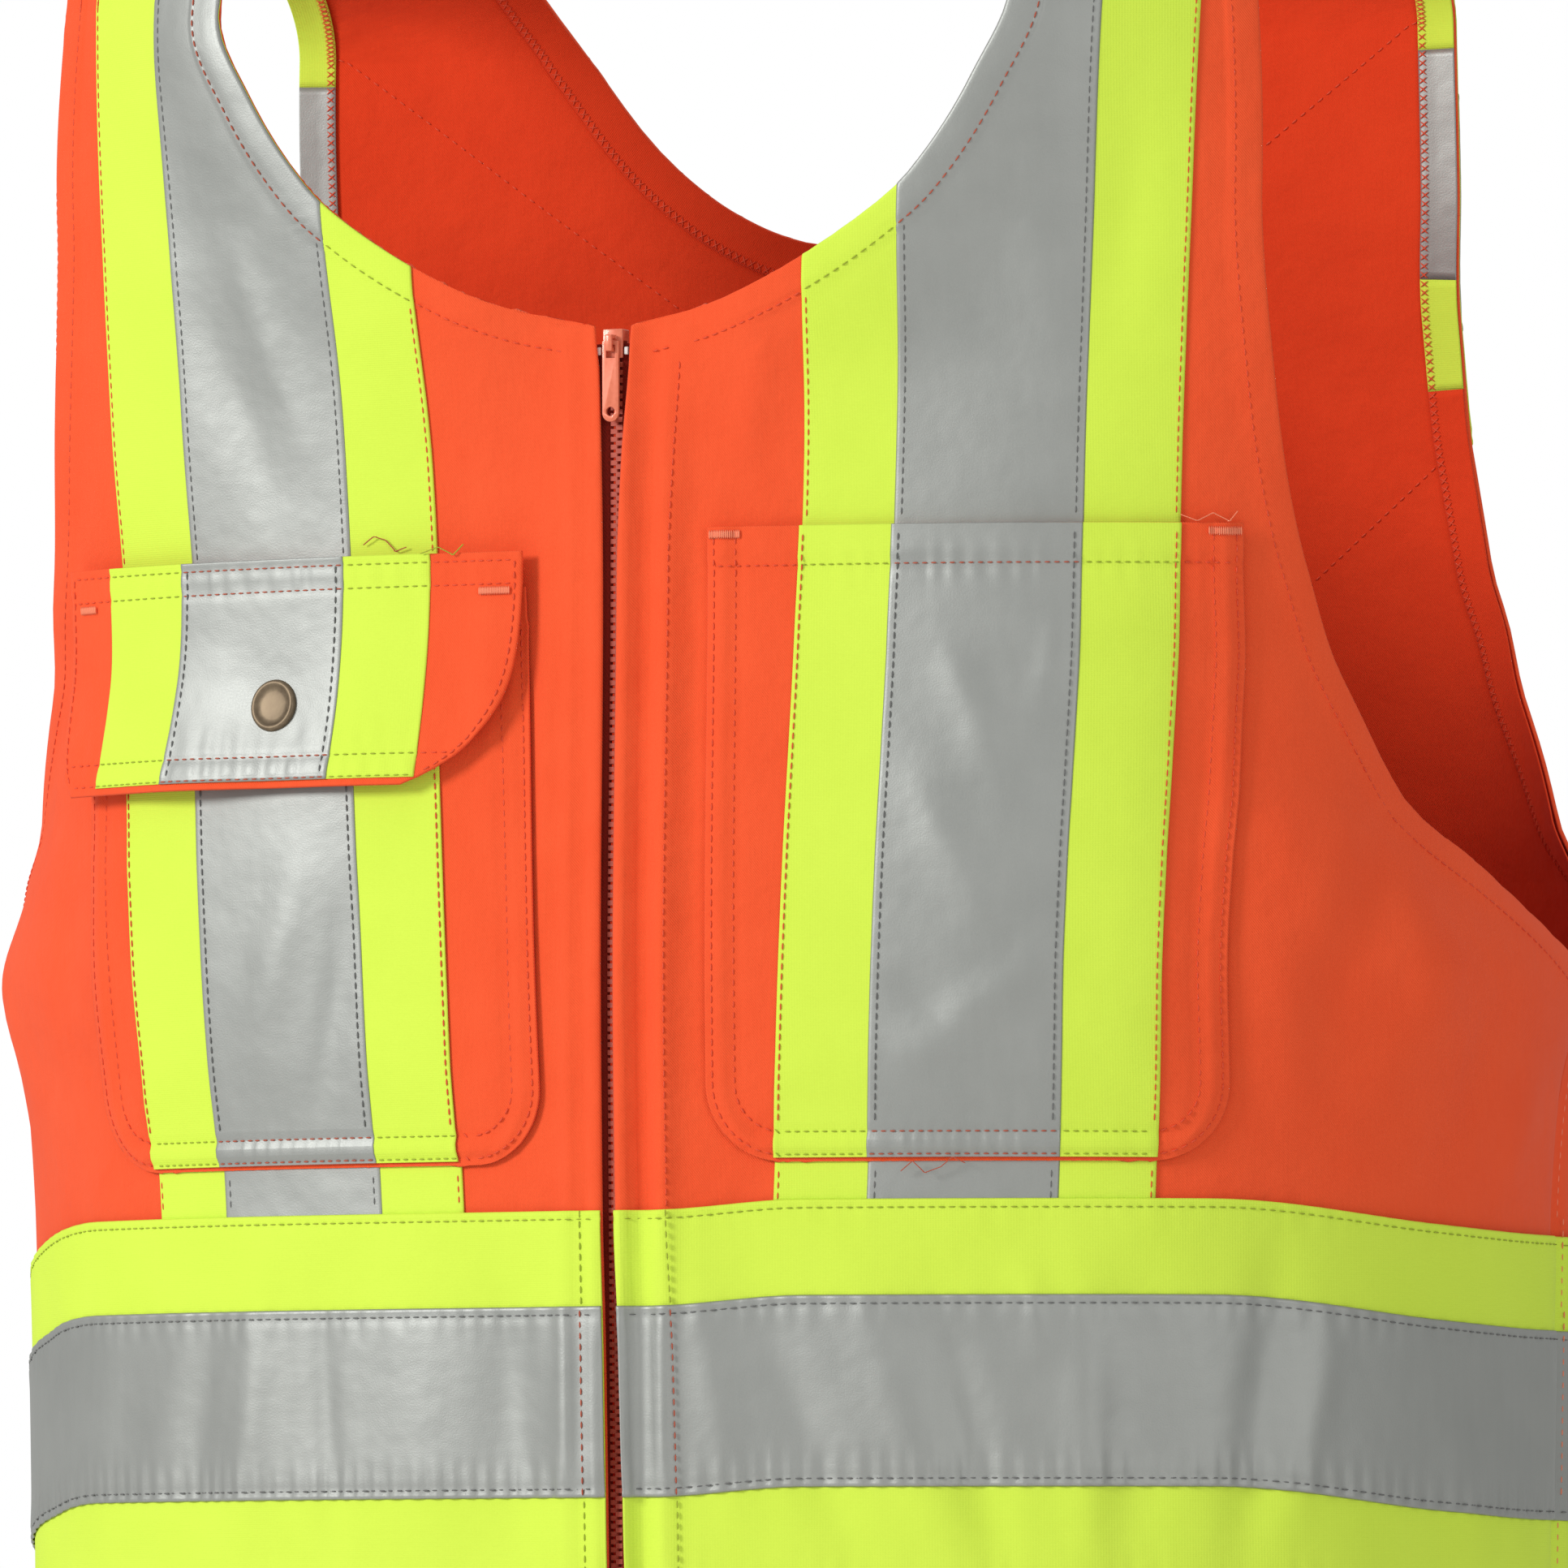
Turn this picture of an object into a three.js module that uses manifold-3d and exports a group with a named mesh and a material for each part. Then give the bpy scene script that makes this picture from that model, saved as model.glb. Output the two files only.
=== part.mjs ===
// Hi-vis overalls: sleeveless, zip-fronted work overalls of orange twill with lime and silver
// safety tape, filled out as if worn. Millimetres, +Z up, the front faces -Y, the wearer's left
// is +X. The origin is midway between the shoulders, on top of the shoulder seams.
//
// Cloth is laid out on a worn form. A point of cloth is given by s, the cloth distance across
// from the centre line, and d, the cloth distance down from the shoulder seam. Every piece is a
// wall between two lifts off the form, on the same grid lines as the panel that it lies on.
import * as THREE from "three";
import { mergeVertices } from "three/addons/utils/BufferGeometryUtils.js";
import Module from "manifold-3d";

// ---- Driving dimensions ----------------------------------------------------------------
const SHOULDER_Y = -29; // the shoulder seam, front to back
const ARCH_TOP = -50; // where the straps begin to turn over the shoulder
const ARCH_LENGTH = 102; // cloth from there to the shoulder seam
const SHOULDER_SLOPE = 0.32; // drop of the strap's outer edge, as a share of the arch
const NECK_X = 106; // half the neck opening at the shoulder seam
const STRAP_X = 161; // outer edge of the strap at the shoulder seam

const UNDERARM_Z = -300;
const WAIST_Z = -560;
const FLY_END_Z = -690;
const CROTCH_Z = -790;
const HEM_Z = -1540;

const TAPE_WIDTH = 97; // lime tape, with the silver along its middle
const SILVER_WIDTH = 48.5;
const BAND_TOP_Z = -362;

const POCKET_TOP_Z = { left: -189, right: -203 }; // the right one is closed by a flap
const POCKET_BOTTOM_Z = -350;
const FLAP_TOP_Z = -194;
const FLAP_BOTTOM_Z = -252;
const FLAP_STANDS_OFF = 6; // the flap's lower edge curls away from the pocket
const FLAP_LEAN = 5; // and hangs a little towards the arm

const CROSS_Z = -218; // where the back tapes cross, on the centre line
const CROSS_ANGLE = (36.5 * Math.PI) / 180; // their slope

const SEAM = 0.3; // clear gap between two pieces
const CLOTH = 1.2; // wall of the orange twill
const TRIM = 0.9; // wall of tape, pocket and flap cloth
const SLIVER = 0.6; // narrowest column where the neck or armhole cuts across the grid

// ---- The worn form ---------------------------------------------------------------------
// Each table holds [height, value] stations from the top down.
const HALF_WIDTH = [
  [0, 196], [-104, 200], [-200, 200], [-227, 197], [-257, 197], [-275, 203], [-300, 212],
  [-325, 208], [-362, 205], [-464, 203], [-560, 202], [-650, 213], [-760, 226], [-790, 228],
];
const FRONT_DEPTH = [
  [0, 136], [-50, 136], [-115, 133], [-200, 133], [-300, 135], [-362, 134], [-464, 132],
  [-560, 128], [-650, 130], [-760, 130], [-900, 108], [-1100, 96], [-1540, 84],
];
const BACK_DEPTH = [
  [0, 49], [-50, 49], [-90, 51], [-160, 70], [-212, 86], [-250, 97], [-300, 106],
  [-362, 110], [-464, 108], [-560, 102], [-650, 116], [-740, 126], [-900, 108],
  [-1100, 96], [-1540, 84],
];
const FRONT_ROUND = [
  [0, 3.2], [-50, 3.3], [-104, 3.6], [-155, 3.4], [-196, 3], [-227, 2.8], [-257, 2.8], [-300, 2.5],
  [-362, 2.3], [-700, 2.3], [-900, 2], [-1540, 2],
];
const BACK_ROUND = [
  [0, 6], [-90, 6], [-160, 4], [-250, 3], [-300, 2.6], [-362, 2.3], [-700, 2.3], [-900, 2],
  [-1540, 2],
];
const LEG_CENTRE = [[-600, 0], [-650, 16], [-700, 42], [-750, 80], [-790, 115.5], [-1100, 120], [-1540, 124]];
const LEG_RADIUS = [[-790, 112.5], [-900, 104], [-1100, 92], [-1540, 80]];
const FLY_RIDGE = [[-600, 5], [-690, 0]]; // the stiff fly stands forward of the chest
const FLY_RIDGE_WIDTH = 26;

// Cloth from the side seam in to the armhole edge.
const FRONT_ARMHOLE = [
  [0, 124], [-50, 120], [-104, 121.5], [-155, 116], [-196, 104], [-227, 87], [-257, 66.5],
  [-275, 43], [-290, 20], [-300, 0.2],
];
const BACK_ARMHOLE = [
  [0, 69], [-50, 70], [-91, 73], [-127, 79], [-159, 81], [-189, 81], [-212, 75.5], [-245, 60],
  [-273, 36], [-290, 16], [-300, 0.2],
];
// Half the neck opening, across the body.
const FRONT_NECK = [
  [0, NECK_X], [-54, 107], [-76, 98], [-100, 83], [-112, 70], [-126, 46], [-133, 25], [-137, 4.6],
];
const BACK_NECK = [
  [0, NECK_X], [-34, 93], [-53, 79], [-74, 63], [-86, 50], [-94, 38], [-101, 21], [-103, 0],
];
const FLY_HALF_GAP = [[-137, 4.6], [-151, 4.6], [-170, 2.2], [-300, 2], [-450, 3], [-690, 3]];

// Value of a station table at a height: straight between stations, eased at each one.
function at(table, z) {
  const last = table.length - 1;
  if (z >= table[0][0]) return table[0][1];
  if (z <= table[last][0]) return table[last][1];
  let i = 0;
  while (table[i + 1][0] > z) i++;
  const [z0, v0] = table[i];
  const [z1, v1] = table[i + 1];
  const step = (v1 - v0) / (z1 - z0);
  const slopeAt = (j) => {
    if (j === 0 || j === last) return 0;
    const before = (table[j][1] - table[j - 1][1]) / (table[j][0] - table[j - 1][0]);
    const after = (table[j + 1][1] - table[j][1]) / (table[j + 1][0] - table[j][0]);
    return before * after <= 0 ? 0 : (2 * before * after) / (before + after);
  };
  const m0 = i === 0 ? step : slopeAt(i);
  const m1 = i + 1 === last ? step : slopeAt(i + 1);
  const u = (z - z0) / (z1 - z0);
  const h = z1 - z0;
  return (
    v0 * (1 + 2 * u) * (1 - u) ** 2 + m0 * h * u * (1 - u) ** 2 +
    v1 * u * u * (3 - 2 * u) - m1 * h * u * u * (1 - u)
  );
}

const heightAt = (d) => (d < ARCH_LENGTH ? ARCH_TOP : ARCH_TOP - (d - ARCH_LENGTH));
const dropOf = (z) => ARCH_LENGTH + ARCH_TOP - z;

// One quarter of the level outline, from the centre line to the side seam, as points and their
// cloth distance. A leg is a half outline round its own centre once it has left the trunk.
const SAMPLES = 90;
const outlines = new Map();
function outline(z, front) {
  const key = z.toFixed(4) + front;
  if (outlines.has(key)) return outlines.get(key);
  const centre = at(LEG_CENTRE, z);
  const half = z < CROTCH_Z ? at(LEG_RADIUS, z) : at(HALF_WIDTH, z) - centre;
  const depth = at(front ? FRONT_DEPTH : BACK_DEPTH, z);
  const n = at(front ? FRONT_ROUND : BACK_ROUND, z);
  const ridge = front ? at(FLY_RIDGE, z) : 0;
  const start = centre >= half ? -Math.PI / 2 : -Math.asin((centre / half) ** (n / 2));
  const xs = [];
  const ys = [];
  const lengths = [];
  for (let i = 0; i <= SAMPLES; i++) {
    const angle = start + ((Math.PI / 2 - start) * i) / SAMPLES;
    const x = centre + half * Math.sign(angle) * Math.abs(Math.sin(angle)) ** (2 / n);
    const round = depth * Math.max(0, Math.cos(angle)) ** (2 / n);
    const y = round + ridge * Math.exp(-((x / FLY_RIDGE_WIDTH) ** 2));
    lengths.push(i ? lengths[i - 1] + Math.hypot(x - xs[i - 1], y - ys[i - 1]) : 0);
    xs.push(x);
    ys.push(y);
  }
  const made = { xs, ys, lengths, girth: lengths[SAMPLES] };
  outlines.set(key, made);
  return made;
}

function lookUp(from, to, value) {
  let i = 0;
  while (i < from.length - 2 && from[i + 1] < value) i++;
  const share = (value - from[i]) / (from[i + 1] - from[i]);
  return to[i] + (to[i + 1] - to[i]) * share;
}

const acrossTo = (x, z, front) => {
  const line = outline(z, front);
  return lookUp(line.xs, line.lengths, x);
};

// Place of cloth point (s, d) on the form, for the wearer's left half.
function place(s, d, front) {
  const z = heightAt(d);
  const line = outline(z, front);
  const x = lookUp(line.lengths, line.xs, s);
  const depth = lookUp(line.lengths, line.ys, s);
  const y = front ? -depth : depth;
  if (d >= ARCH_LENGTH) return new THREE.Vector3(x, y, z);
  const angle = (Math.PI / 2) * (1 - d / ARCH_LENGTH);
  const fall = (SHOULDER_SLOPE * (x - NECK_X)) / (STRAP_X - NECK_X);
  return new THREE.Vector3(
    x,
    SHOULDER_Y + (y - SHOULDER_Y) * Math.cos(angle),
    ARCH_TOP - ARCH_TOP * Math.sin(angle) * (1 - fall),
  );
}

// The same point lifted off the form along its outward normal.
function lifted(s, d, front, lift) {
  const step = 0.5;
  const across = place(s + step, d, front).sub(place(s - step, d, front));
  const down = place(s, d + step, front).sub(place(s, Math.max(d - step, 0), front));
  const normal = down.cross(across).normalize();
  if (!front) normal.negate();
  return place(s, d, front).addScaledVector(normal, lift);
}

// ---- Walls of cloth --------------------------------------------------------------------
// A closed wall between an inner and an outer grid of points, [row][column], with rows running
// down and, seen from outside, columns running to the right, or to the left on a mirrored one.
function wall(inner, outer, mirrored) {
  const rows = inner.length;
  const columns = inner[0].length;
  const points = [...inner.flat(), ...outer.flat()];
  const skin = rows * columns;
  const index = [];
  const quad = (a, b, c, d) => index.push(a, b, c, a, c, d);
  for (let r = 0; r < rows - 1; r++) {
    for (let c = 0; c < columns - 1; c++) {
      const i = r * columns + c;
      index.push(skin + i, skin + i + columns, skin + i + columns + 1);
      index.push(skin + i, skin + i + columns + 1, skin + i + 1);
      index.push(i, i + columns + 1, i + columns, i, i + 1, i + columns + 1);
    }
  }
  for (let c = 0; c < columns - 1; c++) {
    const low = (rows - 1) * columns + c;
    quad(c, skin + c, skin + c + 1, c + 1);
    quad(low + 1, skin + low + 1, skin + low, low);
  }
  for (let r = 0; r < rows - 1; r++) {
    const left = r * columns;
    const right = left + columns - 1;
    quad(left + columns, skin + left + columns, skin + left, left);
    quad(right, skin + right, skin + right + columns, right + columns);
  }
  if (mirrored) index.reverse();
  const geometry = new THREE.BufferGeometry();
  geometry.setAttribute("position", new THREE.Float32BufferAttribute(points.flatMap((p) => p.toArray()), 3));
  geometry.setIndex(index);
  geometry.computeVertexNormals();
  return geometry;
}

// A piece laid on the front or back of one side. rows are cloth distances down, acrossAt(d)
// gives the cloth distances across. side is +1 for the wearer's left, -1 for the right, and 0
// for a piece across both, whose distances are signed. lift is a number or a function of (s, d).
function laid({ front, side, rows, acrossAt, lift, thick }) {
  const runsLeft = front !== side >= 0;
  const liftAt = typeof lift === "function" ? lift : () => lift;
  const sheet = (extra) =>
    rows.map((d) =>
      acrossAt(d).map((s) => {
        const p = lifted(Math.abs(s), d, front, liftAt(s, d) + extra);
        p.x *= s === 0 ? 0 : side || Math.sign(s);
        return p;
      }),
    );
  return wall(sheet(0), sheet(thick), runsLeft);
}

const lerp = (a, b, u) => a + (b - a) * u;
const spread = (a, b, parts) => Array.from({ length: parts + 1 }, (_, i) => lerp(a, b, i / parts));
const rowsBetween = (rows, high, low) => rows.filter((d) => d >= high - 1e-6 && d <= low + 1e-6);

// ---- Grid lines ------------------------------------------------------------------------
const ARCH_ROWS = spread(0, ARCH_LENGTH, 3);
const TAPE_EDGE = (TAPE_WIDTH - SILVER_WIDTH) / 2;
const BAND_LEVELS = [0, TAPE_EDGE, TAPE_EDGE + SILVER_WIDTH, TAPE_WIDTH].map((fall) => BAND_TOP_Z - fall);
const FRONT_LEVELS = [
  -72, -98, -118, -137, -151, -170, POCKET_TOP_Z.left, FLAP_TOP_Z, POCKET_TOP_Z.right, -227,
  FLAP_BOTTOM_Z, -272, -288, UNDERARM_Z, -325, -342, POCKET_BOTTOM_Z, ...BAND_LEVELS, -510,
  WAIST_Z + SEAM / 2,
];
const BACK_LEVELS = [
  -72, -90, -104, -130, -160, -190, -220, -248, -272, -288, UNDERARM_Z, -320, -341, ...BAND_LEVELS,
  -510, WAIST_Z + SEAM / 2,
];
const LEG_LEVELS = [
  WAIST_Z - SEAM / 2, -625, FLY_END_Z, -730, -765, CROTCH_Z, -840, -950, -1120, -1320, HEM_Z,
];
const withArch = (levels) => [SEAM / 2, ...ARCH_ROWS.slice(1), ...levels.map(dropOf)];
const FRONT_ROWS = withArch(FRONT_LEVELS);
const BACK_ROWS = withArch(BACK_LEVELS);

const tapeMiddleX = (z) => 90.5 + (z + 343) * 0.049;
const pocketOuterX = (z) => 152.5 + (z + 330) * 0.04;
const pocketInnerX = { left: () => 25, right: (z) => 19 + (z + 320) * 0.041 };

// Lines keep their order, at least a sliver apart, where an edge cuts across them.
function kept(lines, inner, outer) {
  const last = lines.length - 1;
  return lines
    .map((s, i) => Math.max(s, inner + i * SLIVER))
    .map((s, i) => Math.min(s, outer - (last - i) * SLIVER));
}

// Cloth distance from the centre line to the armhole edge, or below it to the side seam.
function outerEdge(d, front) {
  const z = heightAt(d);
  const { girth } = outline(z, front);
  if (z <= UNDERARM_Z) return girth - SEAM / 2;
  const edge = girth - Math.max(at(front ? FRONT_ARMHOLE : BACK_ARMHOLE, z), SEAM / 2);
  return d < ARCH_LENGTH ? lerp(acrossTo(STRAP_X, z, front), edge, d / ARCH_LENGTH) : edge;
}

// Half the neck opening at a cloth distance down, across the body.
function neckX(d, neck) {
  if (d >= ARCH_LENGTH) return at(neck, heightAt(d));
  return lerp(NECK_X, at(neck, ARCH_TOP), d / ARCH_LENGTH);
}

// Lines down the front, from the fly or neck edge to the armhole edge or side seam.
const LINE = { pocketInner: 2, tapeInner: 3, silverInner: 4, silverOuter: 6, tapeOuter: 7, pocketOuter: 8 };
const frontLines = (name) => (d) => {
  const z = heightAt(d);
  const edgeX = z > FRONT_NECK.at(-1)[0] ? neckX(d, FRONT_NECK) : at(FLY_HALF_GAP, z);
  const inner = acrossTo(edgeX, z, true);
  const outer = outerEdge(d, true);
  const middle = acrossTo(tapeMiddleX(z), z, true);
  const pocketOuter = acrossTo(pocketOuterX(z), z, true);
  const lines = [
    inner,
    acrossTo((edgeX + pocketInnerX[name](z)) / 2, z, true),
    acrossTo(pocketInnerX[name](z), z, true),
    middle - TAPE_WIDTH / 2,
    ...spread(middle - SILVER_WIDTH / 2, middle + SILVER_WIDTH / 2, 2),
    middle + TAPE_WIDTH / 2,
    pocketOuter,
    ...spread(pocketOuter, outer, 4).slice(1),
  ];
  return kept(lines, inner, outer);
};
const frontBetween = (name, from, to) => (d) => frontLines(name)(d).slice(from, to + 1);

// Lines down half of the back, from the neck edge or centre line.
const BACK_COLUMNS = 8;
function backLines(d) {
  const z = heightAt(d);
  const inner = z > BACK_NECK.at(-1)[0] ? acrossTo(neckX(d, BACK_NECK), z, false) : 0;
  const outer = outerEdge(d, false);
  const lines = spread(0, outer, BACK_COLUMNS);
  return kept(lines, inner, outer);
}
const bothSides = (lines) => [...lines.slice(1).reverse().map((s) => -s), ...lines];

// Lines down one half leg, from the centre seam or inseam to the side seam.
const LEG_COLUMNS = 6;
const LEG_FIRST_COLUMN = 15; // it covers the zip tape
const CROTCH_SEAM_X = 1.5; // holds the two legs' walls clear of each other
const legLines = (front) => (d) => {
  const z = heightAt(d);
  const onFly = front && z >= FLY_END_Z;
  const seamX = CROTCH_SEAM_X * Math.min(1, (WAIST_Z - z) / 100) + SEAM / 2;
  const edgeX = onFly ? at(FLY_HALF_GAP, z) : seamX;
  const inner = z > CROTCH_Z ? Math.max(acrossTo(edgeX, z, front), SEAM / 2) : SEAM / 2;
  return [inner, ...spread(inner + LEG_FIRST_COLUMN, outline(z, front).girth - SEAM / 2, LEG_COLUMNS)];
};

// ---- Solids joined from simple ones ----------------------------------------------------
const manifold = await Module();
manifold.setup();
function solid(geometry) {
  const bare = new THREE.BufferGeometry().setAttribute("position", geometry.getAttribute("position"));
  const merged = mergeVertices(geometry.index ? bare.setIndex(geometry.index) : bare, 1e-4);
  return new manifold.Manifold(new manifold.Mesh({
    numProp: 3,
    vertProperties: merged.attributes.position.array,
    triVerts: new Uint32Array(merged.index.array),
  }));
}
function joined(...geometries) {
  const mesh = geometries.map(solid).reduce((all, next) => all.add(next)).getMesh();
  const geometry = new THREE.BufferGeometry();
  geometry.setAttribute("position", new THREE.BufferAttribute(mesh.vertProperties, 3));
  geometry.setIndex(new THREE.BufferAttribute(mesh.triVerts, 1));
  geometry.computeVertexNormals();
  return geometry;
}

// ---- Materials -------------------------------------------------------------------------
const cloth = (colour, roughness = 0.85) => new THREE.MeshStandardMaterial({ color: colour, roughness });
const ORANGE = cloth(0xf2552c);
const LIME = cloth(0xd3ee3c, 0.8);
const SILVER = cloth(0xa2a49d, 0.5);
const ZIP_TAPE = cloth(0x9a2c1c);
const ZIP_TEETH = new THREE.MeshStandardMaterial({ color: 0xb0381f, roughness: 0.45 });
const SLIDER_METAL = new THREE.MeshStandardMaterial({ color: 0xe08a66, roughness: 0.4, metalness: 0.6 });
const WHITE_PLASTIC = new THREE.MeshStandardMaterial({ color: 0xe8e4dc, roughness: 0.5 });
const BRASS = new THREE.MeshStandardMaterial({ color: 0x8a7450, roughness: 0.4, metalness: 0.9 });

const overalls = new THREE.Group();
function add(name, geometry, material) {
  const mesh = new THREE.Mesh(geometry, material);
  mesh.name = name;
  overalls.add(mesh);
  return mesh;
}
const SIDES = [["left", 1], ["right", -1]];

// ---- Lifts of one layer over another ---------------------------------------------------
const LAYER = TRIM + SEAM;
const ON_PANEL = CLOTH + SEAM;
const ON_TAPE = ON_PANEL + LAYER;
const ON_POCKET_TAPE = ON_TAPE + LAYER;
const ON_POCKET_SILVER = ON_POCKET_TAPE + LAYER;

// ---- Trunk fronts, shoulder tapes, trunk band and chest pockets -------------------------
const CORNER_ROUND = 20; // the pocket's lower corners are cut back in an arc
const cornerInset = (d) => {
  const rise = Math.max(0, d - dropOf(POCKET_BOTTOM_Z) + CORNER_ROUND);
  return CORNER_ROUND - Math.sqrt(CORNER_ROUND ** 2 - Math.min(rise, CORNER_ROUND) ** 2);
};
const pocketLines = (name) => (d) => {
  const lines = frontBetween(name, LINE.pocketInner, LINE.pocketOuter)(d);
  const last = lines.length - 1;
  const inset = cornerInset(d);
  lines[0] = Math.min(lines[0] + inset, lines[1] - SLIVER);
  lines[last] = Math.max(lines[last] - inset, lines[last - 1] + SLIVER);
  return lines;
};
const bandRows = BAND_LEVELS.map(dropOf);

for (const [name, side] of SIDES) {
  const piece = (rows, acrossAt, lift, thick = TRIM) =>
    laid({ front: true, side, rows, acrossAt, lift, thick });
  const pocketTop = dropOf(POCKET_TOP_Z[name]);
  const shoulder = [SEAM / 2, ...rowsBetween(FRONT_ROWS, SEAM, pocketTop - SEAM), pocketTop - SEAM];
  const pocket = rowsBetween(FRONT_ROWS, pocketTop, dropOf(POCKET_BOTTOM_Z));
  const foot = [dropOf(POCKET_BOTTOM_Z) + SEAM, dropOf(BAND_TOP_Z) - SEAM]; // below the pocket
  const lines = frontLines(name);
  const tape = frontBetween(name, LINE.tapeInner, LINE.tapeOuter);
  const silver = frontBetween(name, LINE.silverInner, LINE.silverOuter);
  add("front_" + name, piece(FRONT_ROWS, lines, 0, CLOTH), ORANGE);
  add("shoulder_tape_" + name, piece(shoulder, tape, ON_PANEL), LIME);
  add("shoulder_silver_" + name, piece(shoulder, silver, ON_TAPE), SILVER);
  add("tape_foot_" + name, piece(foot, tape, ON_PANEL), LIME);
  add("silver_foot_" + name, piece(foot, silver, ON_TAPE), SILVER);
  add("band_tape_front_" + name, piece(bandRows, lines, ON_PANEL), LIME);
  add("band_silver_front_" + name, piece(bandRows.slice(1, 3), lines, ON_TAPE), SILVER);
  add("chest_pocket_" + name, piece(pocket, pocketLines(name), ON_PANEL), ORANGE);
  add("pocket_tape_" + name, piece(pocket, tape, ON_TAPE), LIME);
  add("pocket_silver_" + name, piece(pocket, silver, ON_POCKET_TAPE), SILVER);
}

// ---- Pocket flap on the wearer's right, with its snap ----------------------------------
const FLAP_INNER_CUT = 30; // its lower corners are cut away in a curve
const FLAP_OUTER_CUT = 8;
const ON_POCKET = ON_POCKET_SILVER + SEAM;
const flapRows = rowsBetween(FRONT_ROWS, dropOf(FLAP_TOP_Z), dropOf(FLAP_BOTTOM_Z));
flapRows.splice(-1, 0, dropOf(FLAP_BOTTOM_Z + 8));
const flapFall = (d) => (d - dropOf(FLAP_TOP_Z)) / (FLAP_TOP_Z - FLAP_BOTTOM_Z);
const flapLift = (above) => (s, d) => above + FLAP_STANDS_OFF * flapFall(d) ** 2;
const flapLines = (from, to) => (d) => {
  const fall = flapFall(d);
  const lines = frontBetween("right", LINE.pocketInner, LINE.pocketOuter)(d);
  const last = lines.length - 1;
  lines[0] = Math.min(lines[0] + FLAP_INNER_CUT * fall ** 5, lines[1] - SLIVER);
  lines[last] -= FLAP_OUTER_CUT * fall ** 8;
  const leaning = lines.map((s) => s + FLAP_LEAN * fall ** 1.5);
  return leaning.slice(from - LINE.pocketInner, to - LINE.pocketInner + 1);
};
function flapPiece(from, to, above) {
  const across = flapLines(from, to);
  const lift = flapLift(above);
  return laid({ front: true, side: -1, rows: flapRows, acrossAt: across, lift, thick: TRIM });
}
add("pocket_flap", flapPiece(LINE.pocketInner, LINE.pocketOuter, ON_POCKET), ORANGE);
add("flap_tape", flapPiece(LINE.tapeInner, LINE.tapeOuter, ON_POCKET + LAYER), LIME);
add("flap_silver", flapPiece(LINE.silverInner, LINE.silverOuter, ON_POCKET + 2 * LAYER), SILVER);

const SNAP_RADIUS = 6.8;
const SNAP_HEIGHT = 2;
const SNAP_X = 93;
const SNAP_Z = -232;
const snapProfile = [
  [0, 0], [SNAP_RADIUS, 0], [SNAP_RADIUS, SNAP_HEIGHT * 0.5], [SNAP_RADIUS * 0.82, SNAP_HEIGHT],
  [SNAP_RADIUS * 0.55, SNAP_HEIGHT * 0.8], [0, SNAP_HEIGHT * 0.55],
].map(([r, h]) => new THREE.Vector2(r, h));
const snapCap = add("snap_cap", new THREE.LatheGeometry(snapProfile, 20), BRASS);
const snapDrop = dropOf(SNAP_Z);
const snapAcross = acrossTo(SNAP_X, SNAP_Z, true);
const onFlap = (d, above) => {
  const p = lifted(snapAcross, d, true, flapLift(ON_POCKET + 3 * LAYER)(0, d) + above);
  p.x *= -1;
  return p;
};
const snapSeat = onFlap(snapDrop, SEAM);
const snapUp = onFlap(snapDrop - 1, 0).sub(onFlap(snapDrop, 0)).normalize();
const snapNormal = onFlap(snapDrop, 1).sub(onFlap(snapDrop, 0));
snapNormal.addScaledVector(snapUp, -snapNormal.dot(snapUp)).normalize();
snapCap.position.copy(snapSeat);
snapCap.quaternion.setFromUnitVectors(new THREE.Vector3(0, 1, 0), snapNormal);

// ---- Back, with the trunk band and the crossed tapes -----------------------------------
const backHalf = (side) =>
  laid({ front: false, side, rows: BACK_ROWS, acrossAt: backLines, lift: 0, thick: CLOTH });
add("back", joined(backHalf(1), backHalf(-1)), ORANGE);
const backPiece = (rows, acrossAt, lift) =>
  laid({ front: false, side: 0, rows, acrossAt, lift, thick: TRIM });
add("band_tape_back", backPiece(bandRows, (d) => bothSides(backLines(d)), ON_PANEL), LIME);
add("band_silver_back", backPiece(bandRows.slice(1, 3), (d) => bothSides(backLines(d)), ON_TAPE), SILVER);

// A back tape is a straight strip of cloth across the centre line, cut off along the armhole
// edge at its top and along the side seam or the trunk band at its foot. u runs along it and v
// across it; turn is +1 for the strip that falls towards the wearer's left.
const CROSS_LIFT = ON_PANEL + 1.2; // it runs across the panel's grid lines
const CROSS_STEPS = 20;
const onStrip = (u, v, turn) => {
  const s = u * Math.cos(CROSS_ANGLE) + v * Math.sin(CROSS_ANGLE);
  return [turn * s, CROSS_Z - u * Math.sin(CROSS_ANGLE) + v * Math.cos(CROSS_ANGLE)];
};
function inBack([s, z]) {
  return z > BAND_TOP_Z + 1 && Math.abs(s) < outerEdge(dropOf(z), false) - 1;
}
function stripEnd(v, turn, direction) {
  let near = 0;
  let far = 400;
  for (let i = 0; i < 40; i++) {
    const middle = (near + far) / 2;
    if (inBack(onStrip(direction * middle, v, turn))) near = middle;
    else far = middle;
  }
  return direction * near;
}
const eased = (u) => (u <= 0 ? 0 : u >= 1 ? 1 : u * u * (3 - 2 * u));
// How far the upper strip rises to pass over the lower one.
function overOther(s, z) {
  const across = (z - CROSS_Z) * Math.cos(CROSS_ANGLE) + s * Math.sin(CROSS_ANGLE);
  return (2 * LAYER + 0.6) * (1 - eased((Math.abs(across) - TAPE_WIDTH / 2 - 8) / 24));
}
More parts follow.
